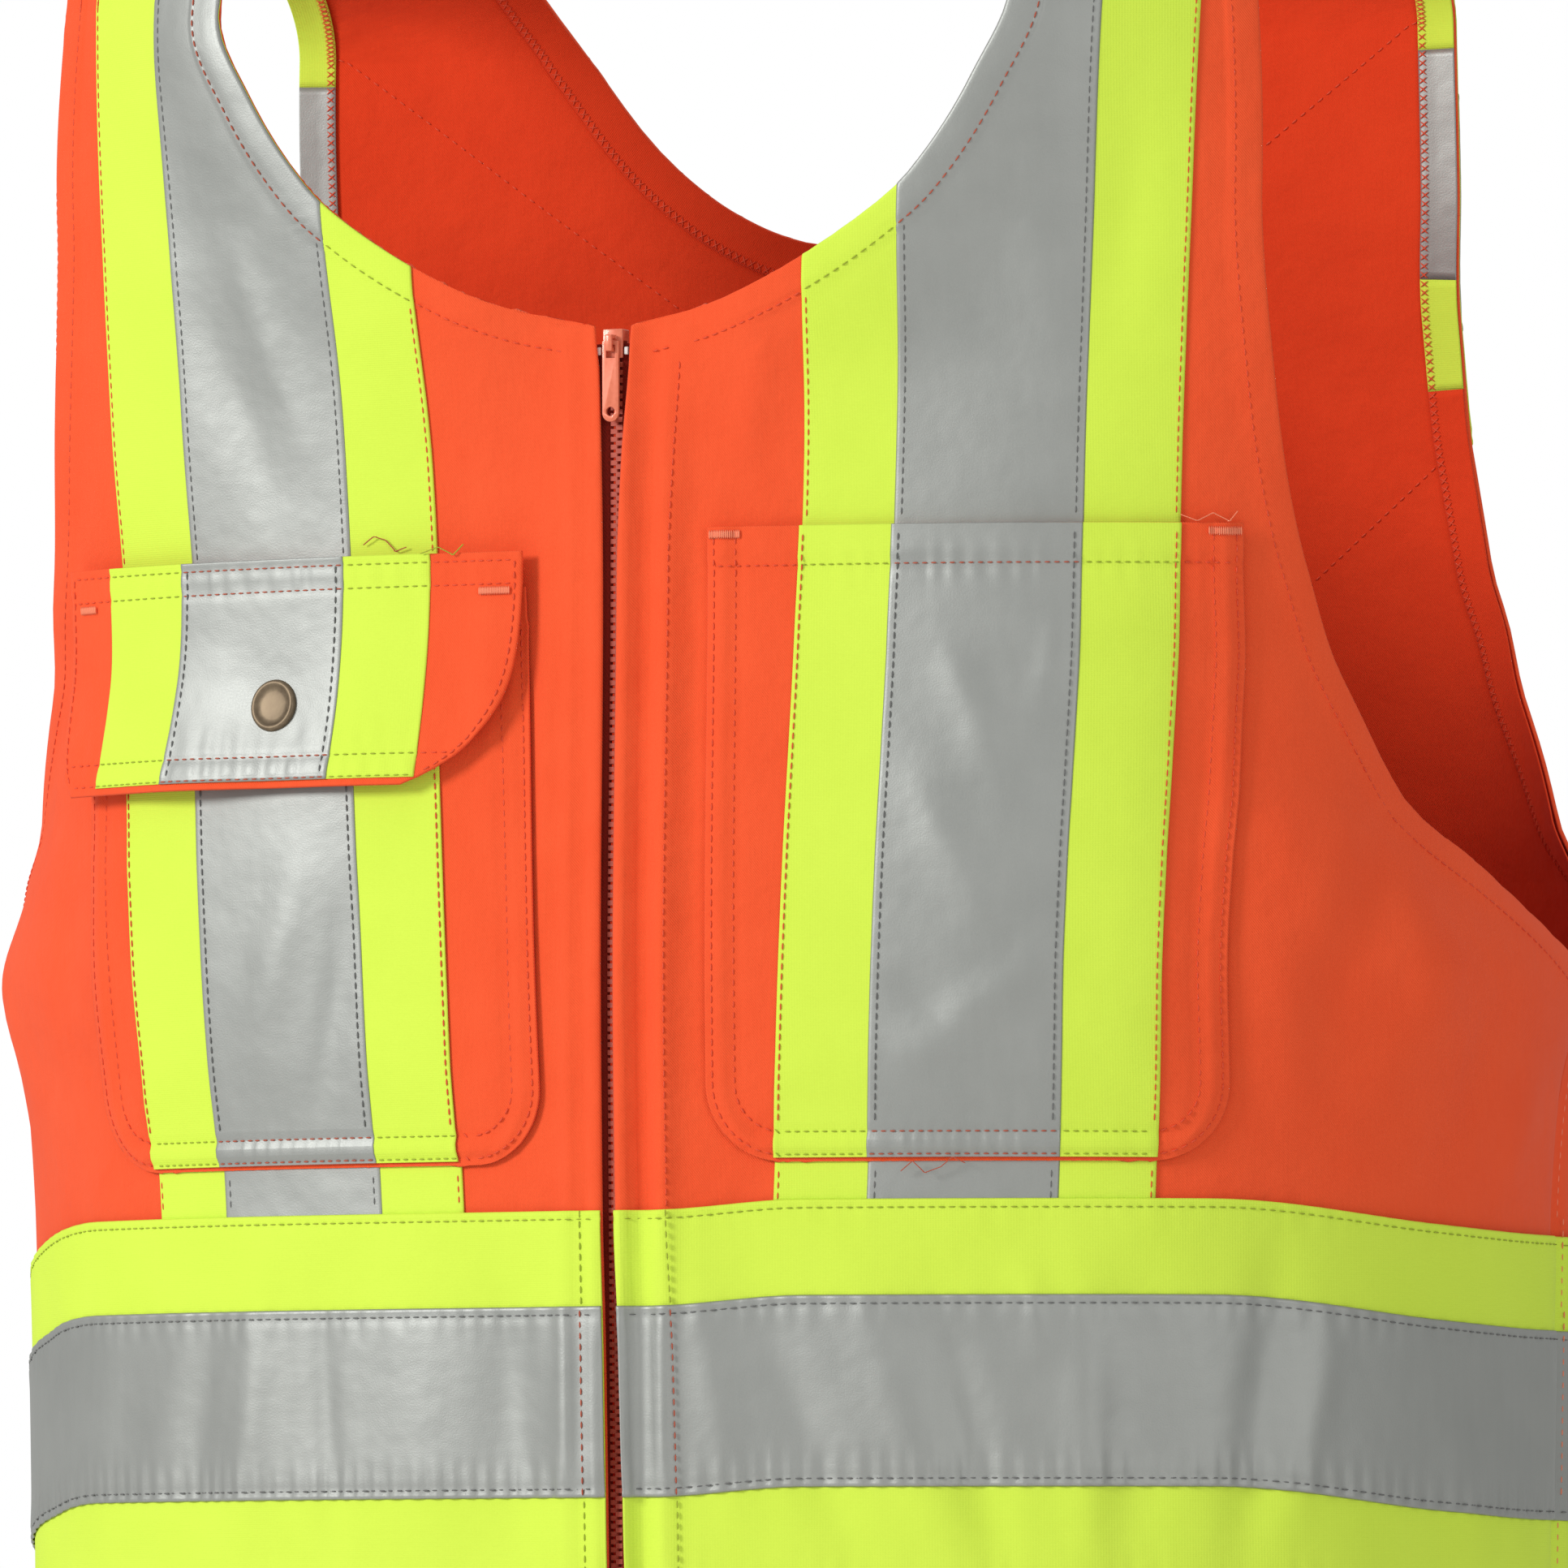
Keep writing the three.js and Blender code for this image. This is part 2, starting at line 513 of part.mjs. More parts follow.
// Both stand off where the back turns forward under the arms.
const overSide = (s) => 2.8 * eased((Math.abs(s) - 140) / 50);
function strip(turn, halfWidth, columns, lift) {
  const lines = spread(halfWidth, -halfWidth, columns);
  const ends = lines.map((v) => [stripEnd(v, turn, -1), stripEnd(v, turn, 1)]);
  const sheet = (extra) =>
    lines.map((v, i) =>
      spread(...ends[i], CROSS_STEPS).map((u) => {
        const [s, z] = onStrip(u, v, turn);
        const rise = overSide(s) + (turn > 0 ? 0 : overOther(s, z));
        const p = lifted(Math.abs(s), dropOf(z), false, lift + rise + extra);
        if (s < 0) p.x *= -1;
        return p;
      }),
    );
  return wall(sheet(0), sheet(TRIM), turn > 0);
}
for (const [name, turn] of [["lower", 1], ["upper", -1]]) {
  add("back_tape_" + name, strip(turn, TAPE_WIDTH / 2, 4, CROSS_LIFT), LIME);
  add("back_silver_" + name, strip(turn, SILVER_WIDTH / 2, 2, CROSS_LIFT + LAYER), SILVER);
}

// ---- Legs ------------------------------------------------------------------------------
for (const [name, side] of SIDES) {
  for (const front of [true, false]) {
    const rows = LEG_LEVELS.map(dropOf);
    const geometry = laid({ front, side, rows, acrossAt: legLines(front), lift: 0, thick: CLOTH });
    add((front ? "leg_front_" : "leg_back_") + name, geometry, ORANGE);
  }
}

// ---- Zip: tapes, chain, slider and pull tab --------------------------------------------
const ZIP_TOP_Z = -141.6;
const CHAIN_HALF = 3;
const CHAIN_THICK = 1.9;
const ZIP_TAPE_WIDTH = 14;
const BEHIND = -0.7; // lift of the zip's front face, just behind the fronts
const zipRows = [
  ZIP_TOP_Z, -151, -170, -189, -227, -272, -300, -362, -437, -510, WAIST_Z, -625, FLY_END_Z,
].map(dropOf);
for (const [name, side] of SIDES) {
  const acrossAt = () => [CHAIN_HALF + SEAM, CHAIN_HALF + SEAM + ZIP_TAPE_WIDTH];
  const geometry = laid({ front: true, side, rows: zipRows, acrossAt, lift: BEHIND - TRIM, thick: TRIM });
  add("zip_tape_" + name, geometry, ZIP_TAPE);
}
const chainAcross = () => [-CHAIN_HALF, 0, CHAIN_HALF];
add("zip_chain", laid({
  front: true, side: 0, rows: zipRows, acrossAt: chainAcross, lift: BEHIND - CHAIN_THICK, thick: CHAIN_THICK,
}), ZIP_TEETH);

const SLIDER_TOP_Z = -138;
const SLIDER_LENGTH = 7.4;
const SLIDER_WIDTH = 5.4;
const PLATE = 0.9;
const CROWN = 3; // the solid top of the slider, above the slot that the chain runs in
const chestFront = at(FRONT_DEPTH, SLIDER_TOP_Z) + at(FLY_RIDGE, SLIDER_TOP_Z);
const sliderFace = -chestFront - PLATE; // y of its front face
// Extrudes an outline drawn in (y, z) to a width centred on x = 0.
function acrossBody(points, width, holes = []) {
  const path = (list, Kind) => new Kind(list.map(([y, z]) => new THREE.Vector2(y, z)));
  const shape = path(points, THREE.Shape);
  shape.holes = holes.map((list) => path(list, THREE.Path));
  const geometry = new THREE.ExtrudeGeometry(shape, { depth: width, bevelEnabled: false });
  geometry.translate(0, 0, -width / 2);
  // (y, z, x) to (x, y, z)
  return geometry.applyMatrix4(new THREE.Matrix4().set(0, 0, 1, 0, 1, 0, 0, 0, 0, 1, 0, 0, 0, 0, 0, 1));
}
const sliderBack = sliderFace + 2 * PLATE - BEHIND + CHAIN_THICK + SEAM;
const crownZ = SLIDER_TOP_Z - CROWN;
const sliderFoot = SLIDER_TOP_Z - SLIDER_LENGTH;
const sliderBody = acrossBody([
  [sliderFace, SLIDER_TOP_Z], [sliderFace, sliderFoot], [sliderFace + PLATE, sliderFoot],
  [sliderFace + PLATE, crownZ], [sliderBack - PLATE, crownZ], [sliderBack - PLATE, sliderFoot],
  [sliderBack, sliderFoot], [sliderBack, SLIDER_TOP_Z],
], SLIDER_WIDTH);
// The bridge is a small arch on the slider's face, and the pull tab's cross bar turns inside it.
const BRIDGE_WIDTH = 1.8;
const BRIDGE_HALF = 2.1;
const BRIDGE_HEIGHT = 3;
const BRIDGE_BAR = 1;
const BAR = 1; // the tab's cross bar, square
const pivotZ = SLIDER_TOP_Z - SLIDER_LENGTH / 2;
const pivotY = sliderFace - (BRIDGE_HEIGHT - BRIDGE_BAR) / 2;
const bridgeHole = BRIDGE_HALF - BRIDGE_BAR;
const bridge = acrossBody([
  [sliderFace + 0.2, pivotZ + BRIDGE_HALF], [sliderFace - BRIDGE_HEIGHT, pivotZ + BRIDGE_HALF],
  [sliderFace - BRIDGE_HEIGHT, pivotZ - BRIDGE_HALF], [sliderFace + 0.2, pivotZ - BRIDGE_HALF],
  [sliderFace + 0.2, pivotZ - bridgeHole], [sliderFace - BRIDGE_HEIGHT + BRIDGE_BAR, pivotZ - bridgeHole],
  [sliderFace - BRIDGE_HEIGHT + BRIDGE_BAR, pivotZ + bridgeHole], [sliderFace + 0.2, pivotZ + bridgeHole],
], BRIDGE_WIDTH);
add("zip_slider", joined(sliderBody, bridge), SLIDER_METAL);

// The pull tab hangs flat; its outline is drawn in (x, z) and extruded front to back.
const TAB_WIDTH = 4.4;
const TAB_LENGTH = 20;
const WINDOW_WIDTH = BRIDGE_WIDTH + 0.7;
const WINDOW_LENGTH = 3.8; // from the pivot, so that the bridge stays inside it at every angle
const EYE_RADIUS = 1.2;
const tab = new THREE.Shape();
tab.moveTo(-TAB_WIDTH / 2, BAR / 2);
tab.lineTo(-TAB_WIDTH / 2, TAB_WIDTH / 2 - TAB_LENGTH);
tab.absarc(0, TAB_WIDTH / 2 - TAB_LENGTH, TAB_WIDTH / 2, Math.PI, 2 * Math.PI, false);
tab.lineTo(TAB_WIDTH / 2, BAR / 2);
tab.closePath();
const tabWindow = [[-1, -1], [1, -1], [1, 1], [-1, 1]].map(([i, j]) =>
  new THREE.Vector2((i * WINDOW_WIDTH) / 2, j > 0 ? -BAR / 2 : -WINDOW_LENGTH));
const eye = new THREE.Path().absarc(0, TAB_WIDTH / 2 - TAB_LENGTH + 0.4, EYE_RADIUS, 0, 2 * Math.PI, true);
tab.holes = [new THREE.Path(tabWindow), eye];
const tabForm = new THREE.ExtrudeGeometry(tab, { depth: BAR, bevelEnabled: false, curveSegments: 8 });
const pullTab = add("zip_pull", tabForm, SLIDER_METAL);
pullTab.rotation.x = Math.PI / 2;
pullTab.position.set(0, pivotY + BAR / 2, pivotZ);

// The two top stops sit on the zip tapes beside the slider.
const STOP = { width: 1, height: 1, length: 2 };
for (const [name, side] of SIDES) {
  const form = new THREE.BoxGeometry(STOP.width, STOP.height, STOP.length);
  const stop = add("zip_stop_" + name, form, WHITE_PLASTIC);
  stop.position.set(side * 3.7, sliderFace + PLATE - STOP.height / 2, ZIP_TOP_Z - 2);
}

export default overalls;
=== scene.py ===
"""Looks of the hi-vis overalls: orange twill, lime and silver tape, zip and pockets.

Everything soft is laid out in cloth distances, in millimetres: s across from the centre line
(positive towards the wearer's left) and d down from the shoulder seam. z is the height.
A piece of cloth is a grid (s, d) at a lift off one worn form, with folds that all layers share.
"""

import bmesh
import bpy
import numpy as np
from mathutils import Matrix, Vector


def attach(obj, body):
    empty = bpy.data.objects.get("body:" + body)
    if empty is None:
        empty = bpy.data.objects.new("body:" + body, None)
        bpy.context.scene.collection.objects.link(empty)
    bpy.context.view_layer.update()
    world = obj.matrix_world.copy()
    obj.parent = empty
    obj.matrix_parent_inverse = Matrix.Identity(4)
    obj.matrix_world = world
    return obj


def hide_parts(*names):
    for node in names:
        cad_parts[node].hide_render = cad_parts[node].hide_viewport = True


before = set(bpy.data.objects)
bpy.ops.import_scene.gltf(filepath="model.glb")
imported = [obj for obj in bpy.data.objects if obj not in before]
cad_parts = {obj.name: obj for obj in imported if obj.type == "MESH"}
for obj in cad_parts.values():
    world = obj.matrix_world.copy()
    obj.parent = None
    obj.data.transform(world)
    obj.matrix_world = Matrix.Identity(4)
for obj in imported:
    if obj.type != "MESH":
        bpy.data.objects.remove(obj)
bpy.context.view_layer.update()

# ---- Camera -----------------------------------------------------------------------------
MM = 0.001
AZIMUTH, ELEVATION = np.radians(21.0), np.radians(-3.0)
LOOK_AT = np.array([-5.79, -2.22, -247.0])
STAND_BACK = 5000.0
LENS, FILM = 440.6, 36.0


def stand(name, data):
    """A new object in the scene."""
    obj = bpy.data.objects.new(name, data)
    bpy.context.scene.collection.objects.link(obj)
    return obj


toward_camera = np.array([
    np.sin(AZIMUTH) * np.cos(ELEVATION), -np.cos(AZIMUTH) * np.cos(ELEVATION), np.sin(ELEVATION)])
camera = stand("camera", bpy.data.cameras.new("camera"))
camera.data.lens, camera.data.sensor_width = LENS, FILM
camera.data.clip_start, camera.data.clip_end = 0.1, 100.0
camera.location = (LOOK_AT + STAND_BACK * toward_camera) * MM
camera.rotation_mode = "QUATERNION"
camera.rotation_quaternion = Vector(-toward_camera).to_track_quat("-Z", "Y")
bpy.context.scene.camera = camera
bpy.context.scene.view_settings.view_transform = "Standard"

# ---- Sizes, as in the part --------------------------------------------------------------
SHOULDER_Y, SHOULDER_SLOPE, NECK_X, STRAP_X = -29, 0.32, 106, 161
ARCH_TOP, ARCH_LENGTH = -50, 102
UNDERARM_Z, WAIST_Z, FLY_END_Z, CROTCH_Z, HEM_Z = -300, -560, -690, -790, -1540
TAPE_HALF, SILVER_HALF = 48.5, 24.25
BAND_TOP, BAND_SILVER_TOP, BAND_SILVER_END, BAND_END = -362, -386.25, -434.75, -459
POCKET_TOP = {1: -189, -1: -203}
POCKET_END, FLAP_TOP, FLAP_END = -350, -194, -253.5
CROSS_Z, CROSS_ANGLE = -218, np.radians(36.5)
SEAM = 0.15
RIDGE_WIDTH = 26
FOLD_HEIGHT = 1.2

HALF_WIDTH = [
    (0, 196), (-104, 200), (-200, 200), (-227, 197), (-257, 197), (-275, 203), (-300, 212),
    (-325, 208), (-362, 205), (-464, 203), (-560, 202), (-650, 213), (-760, 226), (-790, 228)]
FRONT_DEPTH = [
    (0, 136), (-50, 136), (-115, 133), (-200, 133), (-300, 135), (-362, 134), (-464, 132),
    (-560, 128), (-650, 130), (-760, 130), (-900, 108), (-1100, 96), (-1540, 84)]
BACK_DEPTH = [
    (0, 49), (-50, 49), (-90, 51), (-160, 70), (-212, 86), (-250, 97), (-300, 106), (-362, 110),
    (-464, 108), (-560, 102), (-650, 116), (-740, 126), (-900, 108), (-1100, 96), (-1540, 84)]
FRONT_ROUND = [
    (0, 3.2), (-50, 3.3), (-104, 3.6), (-155, 3.4), (-196, 3), (-227, 2.8), (-257, 2.8),
    (-300, 2.5), (-362, 2.3), (-700, 2.3), (-900, 2), (-1540, 2)]
BACK_ROUND = [
    (0, 6), (-90, 6), (-160, 4), (-250, 3), (-300, 2.6), (-362, 2.3), (-700, 2.3), (-900, 2),
    (-1540, 2)]
LEG_CENTRE = [
    (-600, 0), (-650, 16), (-700, 42), (-750, 80), (-790, 115.5), (-1100, 120), (-1540, 124)]
LEG_RADIUS = [(-790, 112.5), (-900, 104), (-1100, 92), (-1540, 80)]
FLY_RIDGE = [(-600, 5), (-690, 0)]
FRONT_ARMHOLE = [
    (0, 124), (-50, 120), (-104, 121.5), (-155, 116), (-196, 104), (-227, 87), (-257, 66.5),
    (-275, 43), (-290, 20), (-300, 0.2)]
BACK_ARMHOLE = [
    (0, 69), (-50, 70), (-91, 73), (-127, 79), (-159, 81), (-189, 81), (-212, 75.5), (-245, 60),
    (-273, 36), (-290, 16), (-300, 0.2)]
FRONT_NECK = [
    (0, NECK_X), (-54, 106), (-76, 97), (-100, 81), (-112, 67), (-126, 43), (-133, 24), (-137, 4.6)]
BACK_NECK = [
    (0, NECK_X), (-34, 93), (-53, 79), (-74, 63), (-86, 50), (-94, 38), (-101, 21), (-104, 0)]
# Each side's fly edge from the centre line: the gap wanders a little to the wearer's left.
FLY_EDGE = {
    1: [(-137, 5.2), (-151, 4.2), (-170, 2.6), (-200, 1.3), (-300, 1.1), (-360, 1.5), (-400, 3.2),
        (-460, 4.0), (-690, 3)],
    -1: [(-137, 4.2), (-151, 3.2), (-200, 2.3), (-360, 1.9), (-400, 1.2), (-460, 0.8), (-690, 2)]}


def at(table, z):
    """Value of a station table at heights z: cubics through the stations, eased at each one."""
    stations = np.array(table, float)[::-1]
    zs, vs = stations[:, 0], stations[:, 1]
    z = np.clip(np.asarray(z, float), zs[0], zs[-1])
    step = np.diff(vs) / np.diff(zs)
    slope = np.concatenate([step[:1], np.zeros(len(zs) - 2), step[-1:]])
    a, b = step[:-1], step[1:]
    slope[1:-1] = np.where(a * b > 0, 2 * a * b / np.where(a + b == 0, 1, a + b), 0)
    i = np.clip(np.searchsorted(zs, z, side="right") - 1, 0, len(zs) - 2)
    h = zs[i + 1] - zs[i]
    u = (z - zs[i]) / h
    return (vs[i] * (1 + 2 * u) * (1 - u) ** 2 + slope[i] * h * u * (1 - u) ** 2
            + vs[i + 1] * u * u * (3 - 2 * u) - slope[i + 1] * h * u * u * (1 - u))


def outline(z, front):
    """A quarter of the level outline at one height, from the centre line to the side seam.

    x = centre + half sin(a)^(2/n) and y = depth cos(a)^(2/n), round the leg's own centre lower down.
    """
    centre = float(at(LEG_CENTRE, z))
    half = float(at(LEG_RADIUS, z)) if z < CROTCH_Z else float(at(HALF_WIDTH, z)) - centre
    depth = float(at(FRONT_DEPTH if front else BACK_DEPTH, z))
    n = float(at(FRONT_ROUND if front else BACK_ROUND, z))
    ridge = float(at(FLY_RIDGE, z)) if front else 0
    start = -np.pi / 2 if centre >= half else -np.arcsin((centre / half) ** (n / 2))
    angle = np.linspace(start, np.pi / 2, 241)
    x = centre + half * np.sign(angle) * np.abs(np.sin(angle)) ** (2 / n)
    y = depth * np.maximum(0, np.cos(angle)) ** (2 / n) + ridge * np.exp(-(x / RIDGE_WIDTH) ** 2)
    length = np.concatenate([[0], np.cumsum(np.hypot(np.diff(x), np.diff(y)))])
    return x, y, length


LEVELS = np.concatenate([
    np.arange(HEM_Z - 4, -812, 8.0), np.arange(-812, -730, 1.0), np.arange(-730, WAIST_Z, 5.0),
    np.arange(WAIST_Z, ARCH_TOP + 2, 2.0)])
REACH = np.arange(0, 400.0)
SURVEY = {}
for is_front in (True, False):
    lines = [outline(z, is_front) for z in LEVELS]
    SURVEY[is_front] = (
        np.array([np.interp(REACH, l, x) for x, y, l in lines]),
        np.array([np.interp(REACH, l, y) for x, y, l in lines]),
        np.array([l[-1] for x, y, l in lines]),
        np.array([np.interp(REACH, x, l) for x, y, l in lines]))


def between_cells(grid, row, column):
    """Bilinear look-up in a grid at places between its rows and columns."""
    i = np.clip(row, 0, grid.shape[0] - 1.001)
    j = np.clip(column, 0, grid.shape[1] - 1.001)
    i0, j0 = i.astype(int), j.astype(int)
    u, v = i - i0, j - j0
    return ((grid[i0, j0] * (1 - v) + grid[i0, j0 + 1] * v) * (1 - u)
            + (grid[i0 + 1, j0] * (1 - v) + grid[i0 + 1, j0 + 1] * v) * u)


def read(grid, z, across):
    """A survey grid at heights z and distances across."""
    return between_cells(grid, np.interp(z, LEVELS, np.arange(len(LEVELS))), across)


def height(d):
    """Height of a cloth distance: level over the arch, then straight down."""
    return np.where(d < ARCH_LENGTH, ARCH_TOP, ARCH_TOP - (d - ARCH_LENGTH))


def drop(z):
    """Cloth distance down to a height below the arch line."""
    return ARCH_LENGTH + ARCH_TOP - np.asarray(z, float)


def girth(z, front):
    """Cloth distance from the centre line to the side seam at a height."""
    return np.interp(z, LEVELS, SURVEY[front][2])


def across_to(x, z, front):
    """Cloth distance from the centre line to a place x millimetres across, on the trunk."""
    x, z = np.broadcast_arrays(np.asarray(x, float), np.asarray(z, float))
    return read(SURVEY[front][3], z, x)


def on_form(s, d, front):
    """Point of the worn form: a level outline, turned over the shoulder on a quarter ellipse."""
    s, d = np.broadcast_arrays(np.asarray(s, float), np.maximum(np.asarray(d, float), 0))
    z = height(d)
    x = read(SURVEY[front][0], z, np.abs(s))
    y = read(SURVEY[front][1], z, np.abs(s)) * (-1 if front else 1)
    angle = np.pi / 2 * (1 - np.minimum(d / ARCH_LENGTH, 1))
    fall = SHOULDER_SLOPE * (x - NECK_X) / (STRAP_X - NECK_X)
    arch_z = ARCH_TOP - ARCH_TOP * np.sin(angle) * (1 - fall)
    return np.stack([
        x * np.sign(s), SHOULDER_Y + (y - SHOULDER_Y) * np.cos(angle),
        np.where(d < ARCH_LENGTH, arch_z, z)], -1)


def normal_at(s, d, front):
    """Outward unit normal of the form, from differences across and down."""
    s, d = np.broadcast_arrays(np.asarray(s, float), np.asarray(d, float))
    side, reach = np.where(s < 0, -1, 1), np.abs(s)
    near, far = side * np.maximum(reach - 1, 0.001), side * (reach + 1)
    wide = on_form(far, d, front) - on_form(near, d, front)
    down = on_form(s, d + 1, front) - on_form(s, d - 1, front)
    n = np.cross(down, wide * side[..., None]) * (1 if front else -1)
    return n / np.maximum(np.linalg.norm(n, axis=-1, keepdims=True), 1e-9)


def ease(t):
    """Smooth step: t^2 (3 - 2 t) between 0 and 1."""
    t = np.clip(t, 0, 1)
    return t * t * (3 - 2 * t)


def bell(t):
    """Bell curve: exp(-t^2)."""
    return np.exp(-t * t)


def creases(s, z, marks):
    """Sum of soft folds, each a line (s0, z0) to (s1, z1) with a width and a height.

    A fold is bell-shaped across, and fades as (1 - (2 u - 1)^2)^1.5 along its length u.
    """
    total = np.zeros(np.broadcast(s, z).shape)
    for s0, z0, s1, z1, width, tall in marks:
        ds, dz = s1 - s0, z1 - z0
        size = np.hypot(ds, dz)
        u = ((s - s0) * ds + (z - z0) * dz) / size ** 2
        off = ((s - s0) * dz - (z - z0) * ds) / size
        total = total + tall * bell(off / width) * np.clip(1 - (2 * u - 1) ** 2, 0, None) ** 1.5
    return total


FRONT_FOLDS = [
    # the fly: a rolled edge and a second ridge on the wearer's left, a flatter one on the right
    (3.6, -60, 3.6, -700, 2.2, 1.5), (8.6, -60, 8.4, -700, 2.8, -1.5), (14.2, -60, 13.8, -700, 2.4, 1.2),
    (-4, -60, -4, -700, 1.8, 0.5), (-7.8, -60, -7.4, -700, 1.8, -0.7), (-11.5, -60, -11, -700, 2.2, 0.5),
    (-17, -150, -19, -350, 3.4, 0.5), (-25, -170, -26, -350, 3.0, -0.5), (-34, -150, -33, -300, 4, 0.5),
    (21, -150, 22, -345, 3.2, -0.5), (28, -150, 27, -350, 3.6, 0.45), (45, -130, 30, -186, 5, 0.7),
    (232, -285, 190, -345, 8, 1.3), (248, -300, 214, -358, 7, -1.3), (262, -318, 240, -362, 7, 1.2),
    (-232, -285, -196, -345, 8, 1.2), (-250, -300, -220, -358, 7, -1.2), (-150, -345, -178, -360, 6, 0.8),
    (205, -265, 178, -330, 7, -1.0), (196, -225, 186, -300, 8, 0.9),
    # trunk band, wearer's left
    (34, -372, 70, -470, 7, -1.5), (60, -368, 92, -462, 8, 1.5), (82, -372, 104, -470, 6, -1.4),
    (121, -366, 123, -470, 6, 1.3), (136, -366, 132, -470, 9, -1.2), (172, -360, 158, -470, 6, -1.5),
    (186, -380, 172, -450, 5, 0.9), (236, -462, 212, -398, 8, 1.3), (248, -380, 262, -460, 9, -1.2),
    (20, -366, 34, -452, 6, 1.1), (106, -372, 112, -404, 4, 0.8),
    # trunk band, wearer's right
    (-29, -362, -25, -470, 9, -1.9), (-58, -360, -52, -470, 13, 1.1), (-85, -368, -80, -462, 4, -0.9),
    (-101, -366, -112, -470, 6, 1.3), (-116, -362, -132, -470, 7, -1.5),
    (-160, -366, -166, -470, 9, 0.9), (-200, -360, -190, -470, 10, -1.3), (-11, -370, -13, -450, 4, 0.7),
    # chest and pocket, wearer's left
    (84, -212, 106, -262, 5, 0.9), (76, -246, 104, -300, 6, 0.9), (70, -330, 122, -292, 6, 1.0),
    (72, -300, 96, -322, 5, -0.7), (118, -206, 112, -240, 4, 0.7), (160, -150, 250, -330, 16, -2.0),
    (190, -300, 160, -240, 14, 1.6), (220, -330, 206, -262, 9, 1.2), (150, -210, 154, -345, 6, -0.8),
    (176, -345, 172, -285, 7, 1.0), (40, -150, 34, -330, 9, 0.8),
    # chest and pocket, wearer's right
    (-84, -262, -104, -330, 7, 1.0), (-70, -270, -84, -345, 5, -0.8), (-122, -120, -92, -190, 7, -1.0),
    (-112, -100, -80, -180, 6, 0.9), (-150, -250, -158, -345, 6, 0.9), (-34, -280, -28, -350, 7, 0.8),
    (-178, -330, -168, -250, 8, -1.0),
    # straps
    (118, -60, 112, -150, 8, 0.9), (140, -70, 128, -160, 7, -0.8), (-135, -60, -126, -150, 7, 0.8),
    # below the band
    (60, -466, 20, -556, 9, -1.6), (110, -470, 96, -556, 10, 1.6), (160, -466, 170, -556, 9, -1.6),
    (214, -470, 206, -556, 10, 1.5), (-60, -466, -30, -556, 9, -1.6), (-112, -470, -92, -556, 10, 1.5),
    (-164, -466, -170, -556, 9, -1.5), (-216, -470, -204, -556, 10, 1.5)]
BACK_FOLDS = [
    (-60, -230, -96, -352, 10, -1.4), (58, -226, 92, -350, 10, -1.3), (0, -250, 6, -356, 9, 1.2),
    (-130, -290, -150, -356, 9, 1.3), (134, -286, 150, -358, 9, 1.3), (-30, -366, -40, -470, 8, -1.3),
    (24, -366, 34, -470, 8, 1.3), (84, -364, 76, -470, 8, -1.4), (140, -366, 150, -470, 9, 1.3),
    (-92, -364, -84, -470, 9, 1.4), (-150, -366, -160, -470, 8, -1.3), (200, -366, 192, -470, 9, -1.2),
    (-208, -366, -200, -470, 9, 1.2), (-50, -466, -20, -556, 10, -1.7), (52, -466, 24, -556, 10, -1.7),
    (110, -470, 120, -556, 11, 1.6), (-112, -470, -124, -556, 11, 1.6), (180, -466, 166, -556, 9, -1.5),
    (-182, -466, -168, -556, 9, -1.5), (-20, -130, 30, -190, 9, -0.8), (90, -100, 60, -160, 9, 0.8)]
LEG_FOLDS = [
    (12, -770, 110, -700, 10, -2.6), (10, -800, 130, -760, 12, 2.4), (20, -830, 150, -830, 11, -2.2),
    (40, -600, 60, -690, 11, 1.8), (120, -575, 105, -690, 12, -2.0), (190, -570, 180, -720, 12, 1.8),
    (60, -880, 240, -940, 13, 2.0), (90, -1060, 300, -1100, 14, -2.6), (60, -1110, 270, -1060, 12, 2.4),
    (80, -1150, 290, -1175, 13, -2.4), (60, -1190, 230, -1230, 12, 2.0), (130, -1250, 120, -1500, 16, 2.0),
    (200, -1290, 215, -1530, 14, -2.0), (60, -1300, 55, -1500, 12, -1.6), (40, -1440, 250, -1470, 12, -1.8),
    (50, -1490, 260, -1510, 10, 1.8)]
LEG_BACK_FOLDS = [(a + 14, b - 30, c + 14, e - 20, w, h) for a, b, c, e, w, h in LEG_FOLDS]


def swell(s, d, front):
    """How far the cloth stands off the form: folds, a shallow ripple, the pulled-in side seam."""
    z = height(d)
    s, z = np.broadcast_arrays(np.asarray(s, float), z)
    reach = np.abs(s)
    trunk = z > WAIST_Z
    leg_folds = LEG_FOLDS if front else LEG_BACK_FOLDS
    folds = creases(s, z, FRONT_FOLDS if front else BACK_FOLDS)
    legs = creases(reach, z, leg_folds) * ease(reach / 14)
    phase = np.where(s > 0, 0.0, 1.9) + (0 if front else 0.8)
    ripple = 0.35 * np.sin(s / 19 + z / 61 + phase) + 0.25 * np.sin(s / 11 - z / 47 + 2 * phase)
    side = girth(z, front) - reach
    seam = -2.6 * bell(side / 4.5) * ease((UNDERARM_Z - z) / 40)
    still = ease(d / 60) * ease(side / 12)
    gape = read_gape(reach, d) if front else 0
    return (np.where(trunk, FOLD_HEIGHT * folds, legs) + ripple * ease(reach / 14)) * still + seam + gape


def lay(s, d, front, lift):
    """Cloth points at a lift off the form, with the folds that all layers share."""
    n = normal_at(s, d, front)
    return on_form(s, d, front) + n * (lift + swell(s, d, front))[..., None]


# ---- Grids ------------------------------------------------------------------------------
EDGE_STEPS = np.array([0, 0.4, 1, 2, 3.5, 5.5, 8])
CLOSE_STEP = 1.2
FIRST_ROW = SEAM


